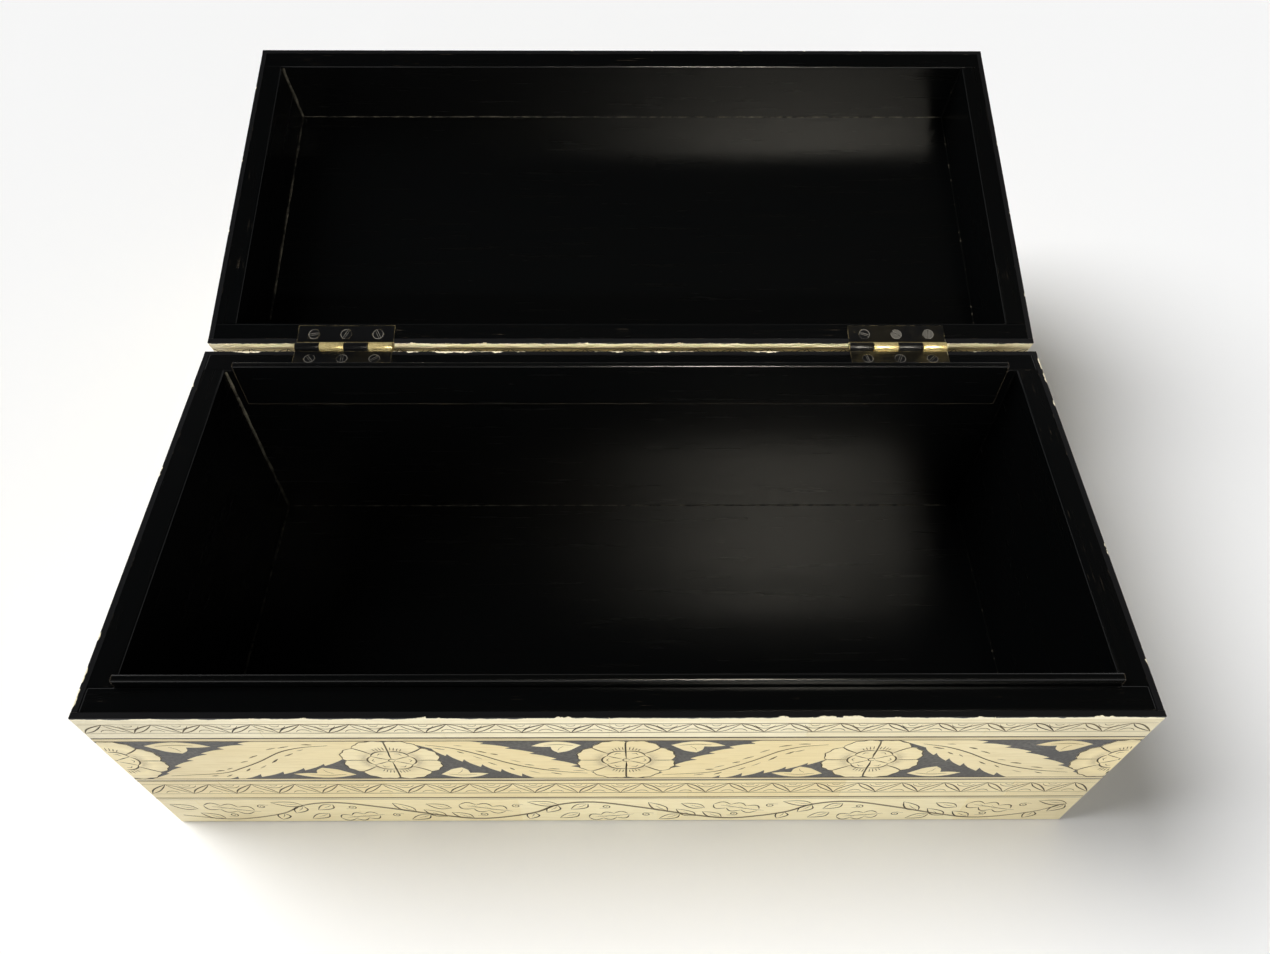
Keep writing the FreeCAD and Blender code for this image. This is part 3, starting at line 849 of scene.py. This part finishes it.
lac = lac_material()
ink = line_material("engraved lines", (0.032, 0.024, 0.013, 1.0), (0.12, 0.09, 0.045, 1.0))
faint_ink = line_material("worn lines", (0.26, 0.215, 0.13, 1.0), (0.42, 0.35, 0.22, 1.0))
engravings = {}
for seed, (side, (place, _, reach)) in enumerate(side_places.items()):
    scroll_high = band(f"base_{side}_scroll_band")[1]
    lower_low, lower_high = band(f"base_{side}_lower_border")
    top_low = band(f"base_{side}_top_border")[0]
    frieze_low = lower_high + lac_line + lower_fillet
    frieze_high = top_low - lac_line - upper_fillet
    pieces, ground, lines = Facing(seed + 200), Facing(seed + 300), Facing(seed + 400)
    strip(ground, reach, frieze_low, frieze_high, -ground_sink)
    for low in (lower_low - lac_line, lower_high, top_low - lac_line, scroll_high):
        ground.shade = line_dust if low == scroll_high else 0.0
        strip(ground, reach, low, low + lac_line, -line_sink)
    for height, width in (
        (top_low + rule_inset, 0.5),
        (frieze_high - rule_inset, 0.4),
        (frieze_low + rule_inset, 0.4),
        (lower_high - rule_inset, 0.45),
        (lower_low - lac_line / 2, 0.75),
    ):
        lines.stroke(ruled(reach, height), width)
    # painted shade towards the ends of the frieze
    pieces.painted_end_shade = painted_end_shade
    pieces.shade = fillet_grime
    for low, width in (
        (scroll_high + lac_line, scroll_fillet),
        (lower_high + lac_line, lower_fillet),
        (frieze_high, upper_fillet),
    ):
        strip(pieces, reach, low, low + width, 0.0)
    pieces.shade = 0.0
    long_side = side in ("front", "back")
    shares = front_flower_shares if long_side else short_flower_shares
    corner = half_length if long_side else half_depth
    Frieze(pieces, lines, reach, frieze_low, frieze_high).fill([share * corner for share in shares])
    engravings[side] = lines
    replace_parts(pieces.finish(f"base_{side}_inlay_pieces", place, "base", "bone", bone), f"base_{side}_inlay")
    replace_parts(ground.finish(f"base_{side}_lac_ground", place, "base", "lac", lac), f"base_{side}_lac")


# Engraved borders and scrolls
# Fine lines cut into the bone with a graver and rubbed with black: a zigzag of leaves along the borders,
# with half-round fans between them, and a winding vine with leaves, lobed leaves and tendrils on the scrolls.
top_margins = (4.1, 4.6)  # of bone left plain below and above the zigzag
lower_margins = (4.4, 3.2)
zigzag_pitch = 14.7
zigzag_inset = 0.5  # its lines stop just short of the corners
scroll_period = 90.8
# One wave of the vine, as (turns from a trough, height), where the crest is near turn 1: the stem,
# its leaves and lobed leaves from base to tip, its curls with the angle they start at, and its dark stretches
vine_stem = ((0.0, 0.117), (0.39, 0.369), (0.61, 0.757), (0.89, 0.874), (1.28, 0.61), (1.67, 0.27))
vine_leaves = (
    ((1.472, 0.447), (1.315, 0.854)),
    ((1.7, 0.214), (1.537, 0.544)),
    ((1.911, 0.155), (1.75, 0.417)),
    ((1.763, 0.61), (1.574, 0.806)),
    ((0.611, 0.757), (0.37, 0.883)),
    ((0.41, 0.38), (0.361, 0.09)),
    ((0.607, 0.709), (0.509, 0.398)),
    ((0.843, 0.786), (0.704, 0.544)),
    ((0.769, 0.369), (0.607, 0.136)),
    ((1.574, 0.29), (1.407, 0.08)),
)
vine_lobed = (((0.24, 0.466), (-0.17, 0.757)), ((1.204, 0.32), (0.843, 0.155)))
vine_curls = ((0.0, 0.32, 250), (0.278, 0.709, 60), (0.981, 0.66, 250), (1.306, 0.3, 60))
vine_accents = ((0.61, 0.45), (1.48, 1.36), (1.72, 1.58))
leaf_belly = 2.4
lobed_belly = 2.3
curl_radius = 1.75


def lens(lines, base, tip, belly, width, vein=True):
    """A pointed leaf in outline, with a short vein."""
    base, tip = Vector(base), Vector(tip)
    run = tip - base
    side = Vector((-run.y, run.x)).normalized() * min(belly, 0.34 * run.length)
    for way, swell in ((1, 1.0), (-1, 0.85)):
        bow = [base, base + run * 0.3 + side * way * swell, base + run * 0.65 + side * way * 0.8 * swell, tip]
        lines.stroke(curve(bow, 3), width * (1.0 if way > 0 else 0.8))
    if vein:
        lines.stroke([base + run * 0.1, base + run * 0.35 + side * 0.12, base + run * 0.62], width * 0.5)


def zigzag(lines, reach, low, high):
    """A zigzag of leaves that fills a border, with fans hung above and set below."""
    count = max(1, round(2 * reach / zigzag_pitch))
    reach -= zigzag_inset
    pitch = 2 * reach / count
    chance = lines.chance
    for edge in (low - 0.2, high + 0.2):
        lines.stroke(ruled(reach, edge, lambda: chance.uniform(-0.08, 0.08)), 0.38)
    for k in range(count):
        foot = (-reach + k * pitch + chance.uniform(-0.3, 0.3), low)
        peak = (-reach + (k + 0.5) * pitch + chance.uniform(-0.3, 0.3), high)
        last = (-reach + (k + 1) * pitch, low)
        early = k < count / 2
        lens(lines, foot, peak, 1.1, 0.6 if early else 0.46, vein=False)
        lens(lines, peak, last, 1.1, 0.46 if early else 0.6, vein=False)
        lines.stroke(arc((peak[0], low), 0.16 * pitch, 165, 15, 8), 0.32)
        if k:
            for radius, width in ((0.1, 0.28), (0.22, 0.34)):
                lines.stroke(arc((foot[0], high), radius * pitch, 195, 345, 9), width)


def lobed(lines, base, tip, belly, lobes):
    """A broad leaf with a scalloped edge and a branching rib."""
    base, tip = Vector(base), Vector(tip)
    run = tip - base
    side = Vector((-run.y, run.x)).normalized()

    def rim(share, way):
        swell = math.sin(math.pi * (0.12 + 0.86 * share))
        return base + run * (0.12 + 0.88 * share) + side * way * belly * swell

    for way in (1, -1):
        for k in range(lobes):
            start, end = rim(k / lobes, way), rim((k + 1) / lobes, way)
            chord = end - start
            out = Vector((-chord.y, chord.x)) * way * 0.42
            scallop = [start + chord * t + out * math.sin(math.pi * t) for t in (i / 8 for i in range(9))]
            lines.stroke(scallop, 0.56)
    lines.stroke(curve([base, base + run * 0.3 + side * 0.3, base + run * 0.6, base + run * 0.86], 4), 0.38)
    for share, way in ((0.3, 1), (0.42, -1), (0.58, 1), (0.66, -1)):
        foot = base + run * share
        lines.stroke([foot, foot + run * 0.12 + side * way * belly * 0.6], 0.26)


def curl(lines, middle, radius, start):
    """A tendril that rolls up round its end, with a short tail."""
    points = []
    for i in range(24):
        turn = math.radians(start + 22 * i)
        size = radius * (1.0 - 0.036 * i)
        points.append(Vector(middle) + Vector((math.cos(turn), math.sin(turn))) * size)
    tail = points[0] + (points[0] - points[1]).normalized() * radius
    lines.stroke([tail] + points, 0.44)


def scroll(lines, reach, low, high, first=None):
    """A vine that winds along a band. first is the place of its first trough; without it, the waves fit."""
    period = scroll_period if first is not None else 2 * reach / max(1, round(2 * reach / scroll_period))
    start = -reach + 0.29 * period if first is None else first
    height = high - low

    def spot(turn, share):
        return Vector((start + turn * period / 2, low + height * share))

    first_turn = math.floor((-reach - start) / (period / 2)) - 2
    last_turn = math.ceil((reach - start) / (period / 2)) + 2
    margin = 1.2

    def inside(*points):
        return all(abs(point.x) < reach - margin for point in points)

    waves = range(first_turn - first_turn % 2, last_turn + 1, 2)
    path = curve([spot(wave + turn, share) for wave in waves for turn, share in vine_stem], 5)
    path = [point for point in path if inside(point)]
    lines.stroke(path, 1.2, 1, top=0.008)
    lines.stroke([point - Vector((0.0, 0.3)) for point in path], 0.42)
    lines.stroke([point + Vector((0.25, 0.5)) for point in path[1:-1]], 0.26)
    for wave in waves:
        for begin, finish in vine_accents:
            near, far = spot(wave + begin, 0.0).x, spot(wave + finish, 0.0).x
            dark = [point - Vector((0.0, 0.3)) for point in path if far < point.x < near]
            if len(dark) > 1:
                lines.stroke(dark, 0.8)
        for ends in vine_leaves:
            base, tip = (spot(wave + turn, share) for turn, share in ends)
            if inside(base, tip):
                lens(lines, base, tip, leaf_belly, 0.62)
        for ends in vine_lobed:
            base, tip = (spot(wave + turn, share) for turn, share in ends)
            if inside(base, tip):
                lobed(lines, base, tip, lobed_belly, 3)
        for turn, share, start_angle in vine_curls:
            middle = spot(wave + turn, share)
            if inside(middle):
                curl(lines, middle, curl_radius, start_angle)


first_trough = 21.7 - half_length
for side, (base_place, lid_place, reach) in side_places.items():
    lines = engravings[side]
    low, high = band(f"base_{side}_top_border")
    zigzag(lines, reach, low + top_margins[0], high - top_margins[1])
    low, high = band(f"base_{side}_lower_border")
    zigzag(lines, reach, low + lower_margins[0], high - lower_margins[1])
    low, high = band(f"base_{side}_scroll_band")
    scroll(lines, reach, low, high, first_trough if side == "front" else None)
    lines.finish(f"base_{side}_engraving", base_place, "base", "lac", ink, faint_ink)
    lid_lines = Facing(500 + len(side))
    zigzag(lid_lines, reach, top_margins[1], top_border - top_margins[0])
    scroll(lid_lines, reach, top_border + lac_line, lid_height - bone_depth)
    lid_lines.finish(f"lid_{side}_engraving", lid_place, "lid", "lac", ink, faint_ink)


# Upper face of the lid
# Faced like the sides, in frames from the edge inwards: a border, a fillet, a scroll, a second border and
# a fillet round a frieze in the middle. The slips are glued to the top board and filed flush with it.
lower_low, lower_high = band("base_front_lower_border")
lower_border = lower_high - lower_low
frieze_height = frieze_high - frieze_low
frieze_inset = half_depth - frieze_height / 2
inner_fillet_inset = frieze_inset - lower_fillet
inner_border_inset = inner_fillet_inset - lac_line - lower_border
outer_fillet_inset = top_border + lac_line
scroll_inset = outer_fillet_inset + upper_fillet
scroll_width = inner_border_inset - lac_line - scroll_inset
scroll_margin = 1.0
lid_top_place = lid_open @ Matrix.Translation((0, 0, (lid_rim + lid_height) * mm))


def frame_sides(facing):
    """Turns the facing to each edge of the lid in turn: u along the edge, v inwards from it."""
    for quarter in range(4):
        far = half_depth if quarter % 2 == 0 else half_length
        long = half_length if quarter % 2 == 0 else half_depth
        turn = Matrix.Rotation(quarter * math.pi / 2, 3, "Z")
        shift = turn @ Vector((0.0, -far, 0.0))
        turn[0][2], turn[1][2] = shift.x, shift.y
        facing.turn = turn
        yield quarter, long
    facing.turn = Matrix.Identity(3)


top_lines = Facing(820)
for k, (node, inset, width, tint) in enumerate(
    (
        ("lid_top_border", 0.0, top_border, grey_bone),
        ("lid_top_scroll_band", scroll_inset, scroll_width, bone),
        ("lid_top_inner_border", inner_border_inset, lower_border, bone),
    )
):
    row = Facing(800 + k)
    for quarter, long in frame_sides(row):
        reach = long - inset - (width if quarter % 2 else 0.0)
        block_row(row, reach, inset, inset + width, 0.25 * quarter)
    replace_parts(row.finish(f"{node}_slips", lid_top_place, "lid", "bone", tint, paint), node)
    for quarter, long in frame_sides(top_lines):
        reach = long - inset - width - scroll_margin
        if "scroll" in node:
            scroll(top_lines, reach, inset + scroll_margin, inset + width - scroll_margin)
        else:
            zigzag(top_lines, reach, inset + top_margins[1], inset + width - top_margins[0])
pieces, ground = Facing(830), Facing(840)
for inset, width in ((outer_fillet_inset, upper_fillet), (inner_fillet_inset, lower_fillet)):
    for quarter, long in frame_sides(pieces):
        strip(pieces, long - inset - (width if quarter % 2 else 0.0), inset, inset + width, 0.0)
for inset in (top_border, inner_border_inset - lac_line, inner_fillet_inset - lac_line):
    for quarter, long in frame_sides(ground):
        strip(ground, long - inset - (lac_line if quarter % 2 else 0.0), inset, inset + lac_line, -line_sink)
centre_reach = half_length - frieze_inset
strip(ground, centre_reach, -frieze_height / 2, frieze_height / 2, -ground_sink)
end_flower = centre_reach - frieze_height / 2
centre = Frieze(pieces, top_lines, centre_reach, -frieze_height / 2, frieze_height / 2)
centre.fill([share * end_flower for share in short_flower_shares])
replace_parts(pieces.finish("lid_top_inlay_pieces", lid_top_place, "lid", "bone", bone), "lid_top_inlay")
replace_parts(ground.finish("lid_top_lac_ground", lid_top_place, "lid", "lac", lac), "lid_top_lac")
top_lines.finish("lid_top_engraving", lid_top_place, "lid", "lac", ink, faint_ink)
for side, (_, lid_place, reach) in side_places.items():
    line = Facing(860 + len(side))
    strip(line, reach, top_border, top_border + lac_line, -line_sink)
    made = line.finish(f"lid_{side}_lac_line", lid_place, "lid", "lac", lac)
    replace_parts(made, f"lid_{side}_lac")


# Butt hinges
# Two cast and filed brass hinges, each with four knuckles on a thin pin, let flush into both rims.
# They were blacked over with the wood; the base's knuckles and the corners have rubbed back to the brass.
def blacked_brass(name, bright_from, bright_to, thick, thin, spread):
    """Brass under worn black lacquer, thick or thin in patches, and rubbed bright between two places on Y."""
    yellow = (0.88, 0.72, 0.34, 1.0)
    dull = (0.55, 0.40, 0.15, 1.0)
    material, tree, shader = new_material(name, specular_ior_level=0.4)
    place = object_place(tree)
    worn = worn_edges(tree, place, 0.0004, spread)
    middle, half = (bright_from + bright_to) / 2, (bright_to - bright_from) / 2
    rubbed = reckon(tree, "COMPARE", parts_of(tree, place)["Y"], middle, half)
    black = mix(tree, ramp(tree, noise(tree, place, 75.0, 3.0, 0.6), 0.44, 0.6), thick, thin)
    scuff = noise(tree, place, 420.0, 5.0, 0.7)
    shine = reckon(tree, "MAXIMUM", rubbed, worn)
    bare = reckon(tree, "MAXIMUM", shine, ramp(tree, scuff, 0.68, 0.78, 0.0, 0.3))
    brass = mix(tree, ramp(tree, scuff, 0.4, 0.75), yellow, dull)
    shown = {
        "Base Color": mix(tree, bare, black, brass),
        "Metallic": reckon(tree, "MULTIPLY", bare, 0.7),
        "Roughness": ramp(tree, scuff, 0.0, 1.0, 0.24, 0.5),
        "Normal": bump(tree, scuff, 0.12, 0.0002),
    }
    feed(tree, shader, shown)
    return material


far_off = 1.0
filed_edge = 0.00014
lacquer = (0.0026, 0.0027, 0.003, 1.0)
thin_lacquer = (0.0065, 0.0055, 0.0035, 1.0)
rubbed_lacquer = (0.032, 0.025, 0.011, 1.0)
rim_back = half_depth * mm
bend = 2 * lid_axis.y - rim_back  # where the open lid's leaves meet their knuckles
bend_half = 0.0004
knuckles = (rim_back, far_off)
fold = (bend - bend_half, bend + bend_half)
whole = (-far_off, far_off)
for name, bright, thick, thin, spread in (
    ("left_hinge_base_leaf", knuckles, lacquer, thin_lacquer, 0.3),
    ("right_hinge_base_leaf", knuckles, thin_lacquer, rubbed_lacquer, 0.3),
    ("left_hinge_lid_leaf", fold, lacquer, lacquer, 0.34),
    ("right_hinge_lid_leaf", fold, lacquer, thin_lacquer, 0.28),
    ("left_hinge_pin", whole, lacquer, lacquer, 0.2),
    ("right_hinge_pin", whole, lacquer, lacquer, 0.2),
):
    finish = blacked_brass(name.replace("_", " "), *bright, thick, thin, spread)
    dress(frame["nodes"][name], finish, filed_edge)


# Hinge screws
# Twelve slotted countersunk wood screws of blacked steel, three in each leaf, driven flush.
# Each was turned home by hand, so the slots point all ways; rims and slots are scratched, and two are bare.
screw_head_radius = 2.2
screw_spacing = 12.6
screw_slot = 0.6
screw_proud = 0.05
slot_floor = 0.3
scratch_proud = screw_proud + 0.02
shank_radius = 1.0
shank_length = 8.0
screw_row = 72.0  # behind the middle of the chest
bare_screws = {("lid", 1, 0), ("lid", 1, 1)}


def screw_metal():
    """Blacked steel, scratched bright along edges, and bare where its shade says so."""
    black = (0.004, 0.004, 0.0042, 1.0)
    steel = (0.26, 0.24, 0.20, 1.0)
    material, tree, shader = new_material("blacked screws", specular_ior_level=0.4, roughness=0.4)
    worn = worn_edges(tree, object_place(tree), 0.0002, 0.55)
    bare = reckon(tree, "MAXIMUM", worn, mesh_value(tree, "shade"))
    feed(tree, shader, {"Base Color": mix(tree, bare, black, steel)})
    return material


def screw_heads(facing, body, row):
    """Slotted heads of one rim's screws: a floor, two halves that stand up beside the slot, and the shank."""
    start = math.degrees(math.asin(screw_slot / 2 / screw_head_radius))
    for hinge, middle in enumerate((-hinge_middle, hinge_middle)):
        for k in (-1, 0, 1):
            turn = Matrix.Rotation(facing.chance.uniform(0, math.pi), 3, "Z")
            turn[0][2] = middle + k * screw_spacing
            turn[1][2] = row
            facing.turn = turn
            facing.shade = 0.3 if (body, hinge, k) in bare_screws else 0.0
            facing.prism(arc((0, 0), screw_head_radius, 0, 345, 23), -slot_floor, 0.4, 0.02)
            for low in (start, start + 180):
                half = arc((0, 0), screw_head_radius, low, low + 180 - 2 * start, 14)
                facing.prism(half, screw_proud, 0.5, 0.14)
            sweep = facing.chance.uniform(0, 360)
            rim = arc((0, 0), screw_head_radius - 0.15, sweep, sweep + facing.chance.uniform(200, 320), 20)
            facing.stroke(rim, 0.3, 1, scratch_proud)
            for v in (-0.4, 0.4):
                facing.stroke([(-1.9, v), (0.0, v), (1.9, v)], 0.2, 1, scratch_proud)
            facing.prism(arc((0, 0), shank_radius, 0, 330, 11), -2 * slot_floor, shank_length, 0.05)


screw_finish = screw_metal()
scratched, _, _ = new_material(
    "scratched steel", base_color=(0.16, 0.15, 0.13, 1.0), metallic=0.3, roughness=0.45
)
lid_rim_place = lid_open @ Matrix.Translation((0, 0, lid_rim * mm)) @ Matrix.Rotation(math.pi, 4, "X")
base_rim_place = Matrix.Translation((0, 0, base_rim))
for body, place, row in (("base", base_rim_place, screw_row), ("lid", lid_rim_place, -screw_row)):
    heads = Facing(900 + len(body))
    screw_heads(heads, body, row)
    made = heads.finish(f"{body}_hinge_screw_heads", place, body, "screw_steel", screw_finish, scratched)
    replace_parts(made, f"hinge_{body}_screws")


# Dust and glue in the inner corners
# Uneven beads of squeezed-out glue, blacked with the wood, that have caught pale dust where two boards meet.
# The corners on the left hold most of it, and the long joints at the back only a thin line.
def dust_material():
    """Black glue with tan dust, more of it where the shade is higher."""
    black = (0.0016, 0.0017, 0.0016, 1.0)
    tan = (0.17, 0.15, 0.11, 1.0)
    material, tree, shader = new_material("dusty glue", roughness=0.7, specular_ior_level=0.2)
    patch = noise(tree, object_place(tree), 330.0, 4.0, 0.65)
    level = reckon(tree, "ADD", patch, mesh_value(tree, "shade"))
    feed(tree, shader, {"Base Color": mix(tree, ramp(tree, level, 0.8, 1.15), black, tan)})
    return material


def bead(facing, start, end, first_wall, second_wall, size, shade):
    """A bead along an inner corner, in metres. The walls are given by the ways that lead along them."""
    start, end = Vector(start), Vector(end)
    steps = max(6, round((end - start).length / 0.004))
    first, second = Vector(first_wall), Vector(second_wall)
    facing.shade = shade
    rings = []
    for i in range(steps + 1):
        spot = start.lerp(end, i / steps)
        a, b = (size * facing.chance.uniform(0.6, 1.3) for _ in range(2))
        low = len(facing.points)
        hollow = (first + second) * 0.28 * (a + b) / 2
        facing.points += [tuple(p) for p in (spot, spot + first * a, spot + hollow, spot + second * b)]
        rings.append([low, low + 1, low + 2, low + 3])
    flip = (end - start).dot(first.cross(second)) < 0
    for here, there in zip(rings, rings[1:]):
        for i in range(4):
            j = (i + 1) % 4
            corners = [here[i], here[j], there[j], there[i]]
            facing.face(corners[::-1] if flip else corners, 0.5)
    facing.face(rings[0] if flip else rings[0][::-1], 0.5)
    facing.face(rings[-1][::-1] if flip else rings[-1], 0.5)


dusty = dust_material()
inside_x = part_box("base_right_board")[0].x
inside_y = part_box("base_back_board")[0].y
panel_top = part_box("base_bottom_panel")[1].z
lid_board = 7.8
lid_hollow = 31.0
lid_inside = (half_length - bone_depth - lid_board) * mm
lid_far = (half_depth - bone_depth - lid_board) * mm
lid_ceiling = (lid_rim + lid_hollow) * mm
for body, place, side_x, far, floor_z, mouth in (
    ("base", Matrix.Identity(4), inside_x, inside_y, panel_top, base_rim - mm),
    ("lid", lid_open, lid_inside, -lid_far, lid_ceiling, lid_rim * mm + mm),
):
    beads = Facing(950 + len(body))
    inward = -1 if far > 0 else 1
    up = (0, 0, 1 if mouth > floor_z else -1)
    bead(beads, (-side_x, far, floor_z), (-side_x, far, mouth), (1, 0, 0), (0, inward, 0), 0.0008, 0.5)
    bead(beads, (-side_x, far, floor_z), (-side_x, -far * 0.7, floor_z), (1, 0, 0), up, 0.0006, 0.38)
    bead(beads, (-side_x, far, floor_z), (side_x, far, floor_z), (0, inward, 0), up, 0.00035, 0.4)
    bead(beads, (side_x, far, floor_z), (side_x, -far, floor_z), (-1, 0, 0), up, 0.0004, 0.2)
    bead(beads, (side_x, far, floor_z), (side_x, far, mouth), (-1, 0, 0), (0, inward, 0), 0.0005, 0.2)
    beads.finish(f"{body}_corner_dust", place, body, "ebonised_wood", dusty)


# Stage
# A white floor under soft light from the back left, with a low fill from the front, a narrow light on the gap
# between the hinges, and two small softboxes, high in front, that only show in the polished wood and brass.
floor_half = 6.0
floor_corners = [(floor_half * x, floor_half * y, 0) for x, y in ((-1, -1), (1, -1), (1, 1), (-1, 1))]
floor_paint, _, _ = new_material(
    "white floor", base_color=(0.92, 0.92, 0.92, 1.0), roughness=0.9, specular_ior_level=0.1
)
floor_mesh = bpy.data.meshes.new("floor")
floor_mesh.from_pydata(floor_corners, [], [(0, 1, 2, 3)])
floor_mesh.materials.append(floor_paint)
floor = in_scene("floor", floor_mesh)
floor.location.z = -0.0002  # so that it doesn't share a plane with the underside

world = bpy.data.worlds.new("studio")
bpy.context.scene.world = world
world.use_nodes = True
sky = world.node_tree
direction = add(sky, "ShaderNodeTexCoord", {}).outputs["Generated"]
glow = ramp(sky, parts_of(sky, direction)["Z"], 0.12, 0.6, 0.7, 0.01, interpolation_type="SMOOTHSTEP")
feed(sky, sky.nodes["Background"], {"Color": (1.0, 1.0, 1.0, 1.0), "Strength": glow})


def lamp(name, kind, energy, place, aim, mirrored, **settings):
    """A lamp that lights the scene and doesn't show in polished surfaces, or one that only shows there."""
    data = bpy.data.lights.new(name, kind)
    data.energy = energy
    for key, value in settings.items():
        setattr(data, key, value)
    made = in_scene(name, data)
    made.visible_camera = False
    made.visible_glossy = mirrored
    made.visible_diffuse = not mirrored
    made.location = place
    made.rotation_euler = (Vector(aim) - Vector(place)).to_track_quat("-Z", "Y").to_euler()


warm_white = (1.0, 0.94, 0.8)
hinge_gap = (0.0, 0.085, 0.098)
base_shine = (0.0845, 0.0416, 0.007)
lid_shine = (0.084, 0.2135, 0.095)
lamp("key", "SUN", 3.85, (-0.98, 0.3, 1.1), (0, 0, 0), False, angle=math.radians(44))
lamp(
    "front fill", "AREA", 1.25, (0.06, -0.6, 0.2), (0.0, -0.1, 0.04), False,
    shape="RECTANGLE", size=0.6, size_y=0.24,
)
lamp(
    "gap light", "AREA", 0.08, (0.0, -0.583, 0.4385), hinge_gap, False,
    shape="RECTANGLE", size=0.3, size_y=0.06, spread=math.radians(12),
)
lamp(
    "softbox over the base", "AREA", 0.096, (0.25, -0.536, 1.155), base_shine, True,
    size=0.16, spread=math.radians(24), color=warm_white,
)
lamp(
    "softbox over the lid", "AREA", 0.4, (0.328, -0.866, 1.1), lid_shine, True,
    size=0.35, spread=math.radians(14), color=warm_white,
)

# Camera at the photograph's place and angle
pitch = math.radians(52.372)
yaw = math.radians(0.489)
roll = math.radians(0.345)
ahead = Vector((math.sin(yaw) * math.cos(pitch), math.cos(yaw) * math.cos(pitch), -math.sin(pitch)))
level = Vector((math.cos(yaw), -math.sin(yaw), 0.0))
above = level.cross(ahead)
right = level * math.cos(roll) + above * math.sin(roll)
up = above * math.cos(roll) - level * math.sin(roll)
camera_data = bpy.data.cameras.new("camera")
camera_data.lens = 27.55
camera_data.sensor_width = 36.0
camera_data.clip_start = 0.01
camera_place = (0.00327, -0.1951, 0.3631)
camera = in_scene("camera", camera_data)
turn = Matrix((right, up, -ahead)).transposed().to_4x4()
camera.matrix_world = Matrix.Translation(camera_place) @ turn
bpy.context.scene.camera = camera
bpy.context.scene.view_settings.view_transform = "Standard"
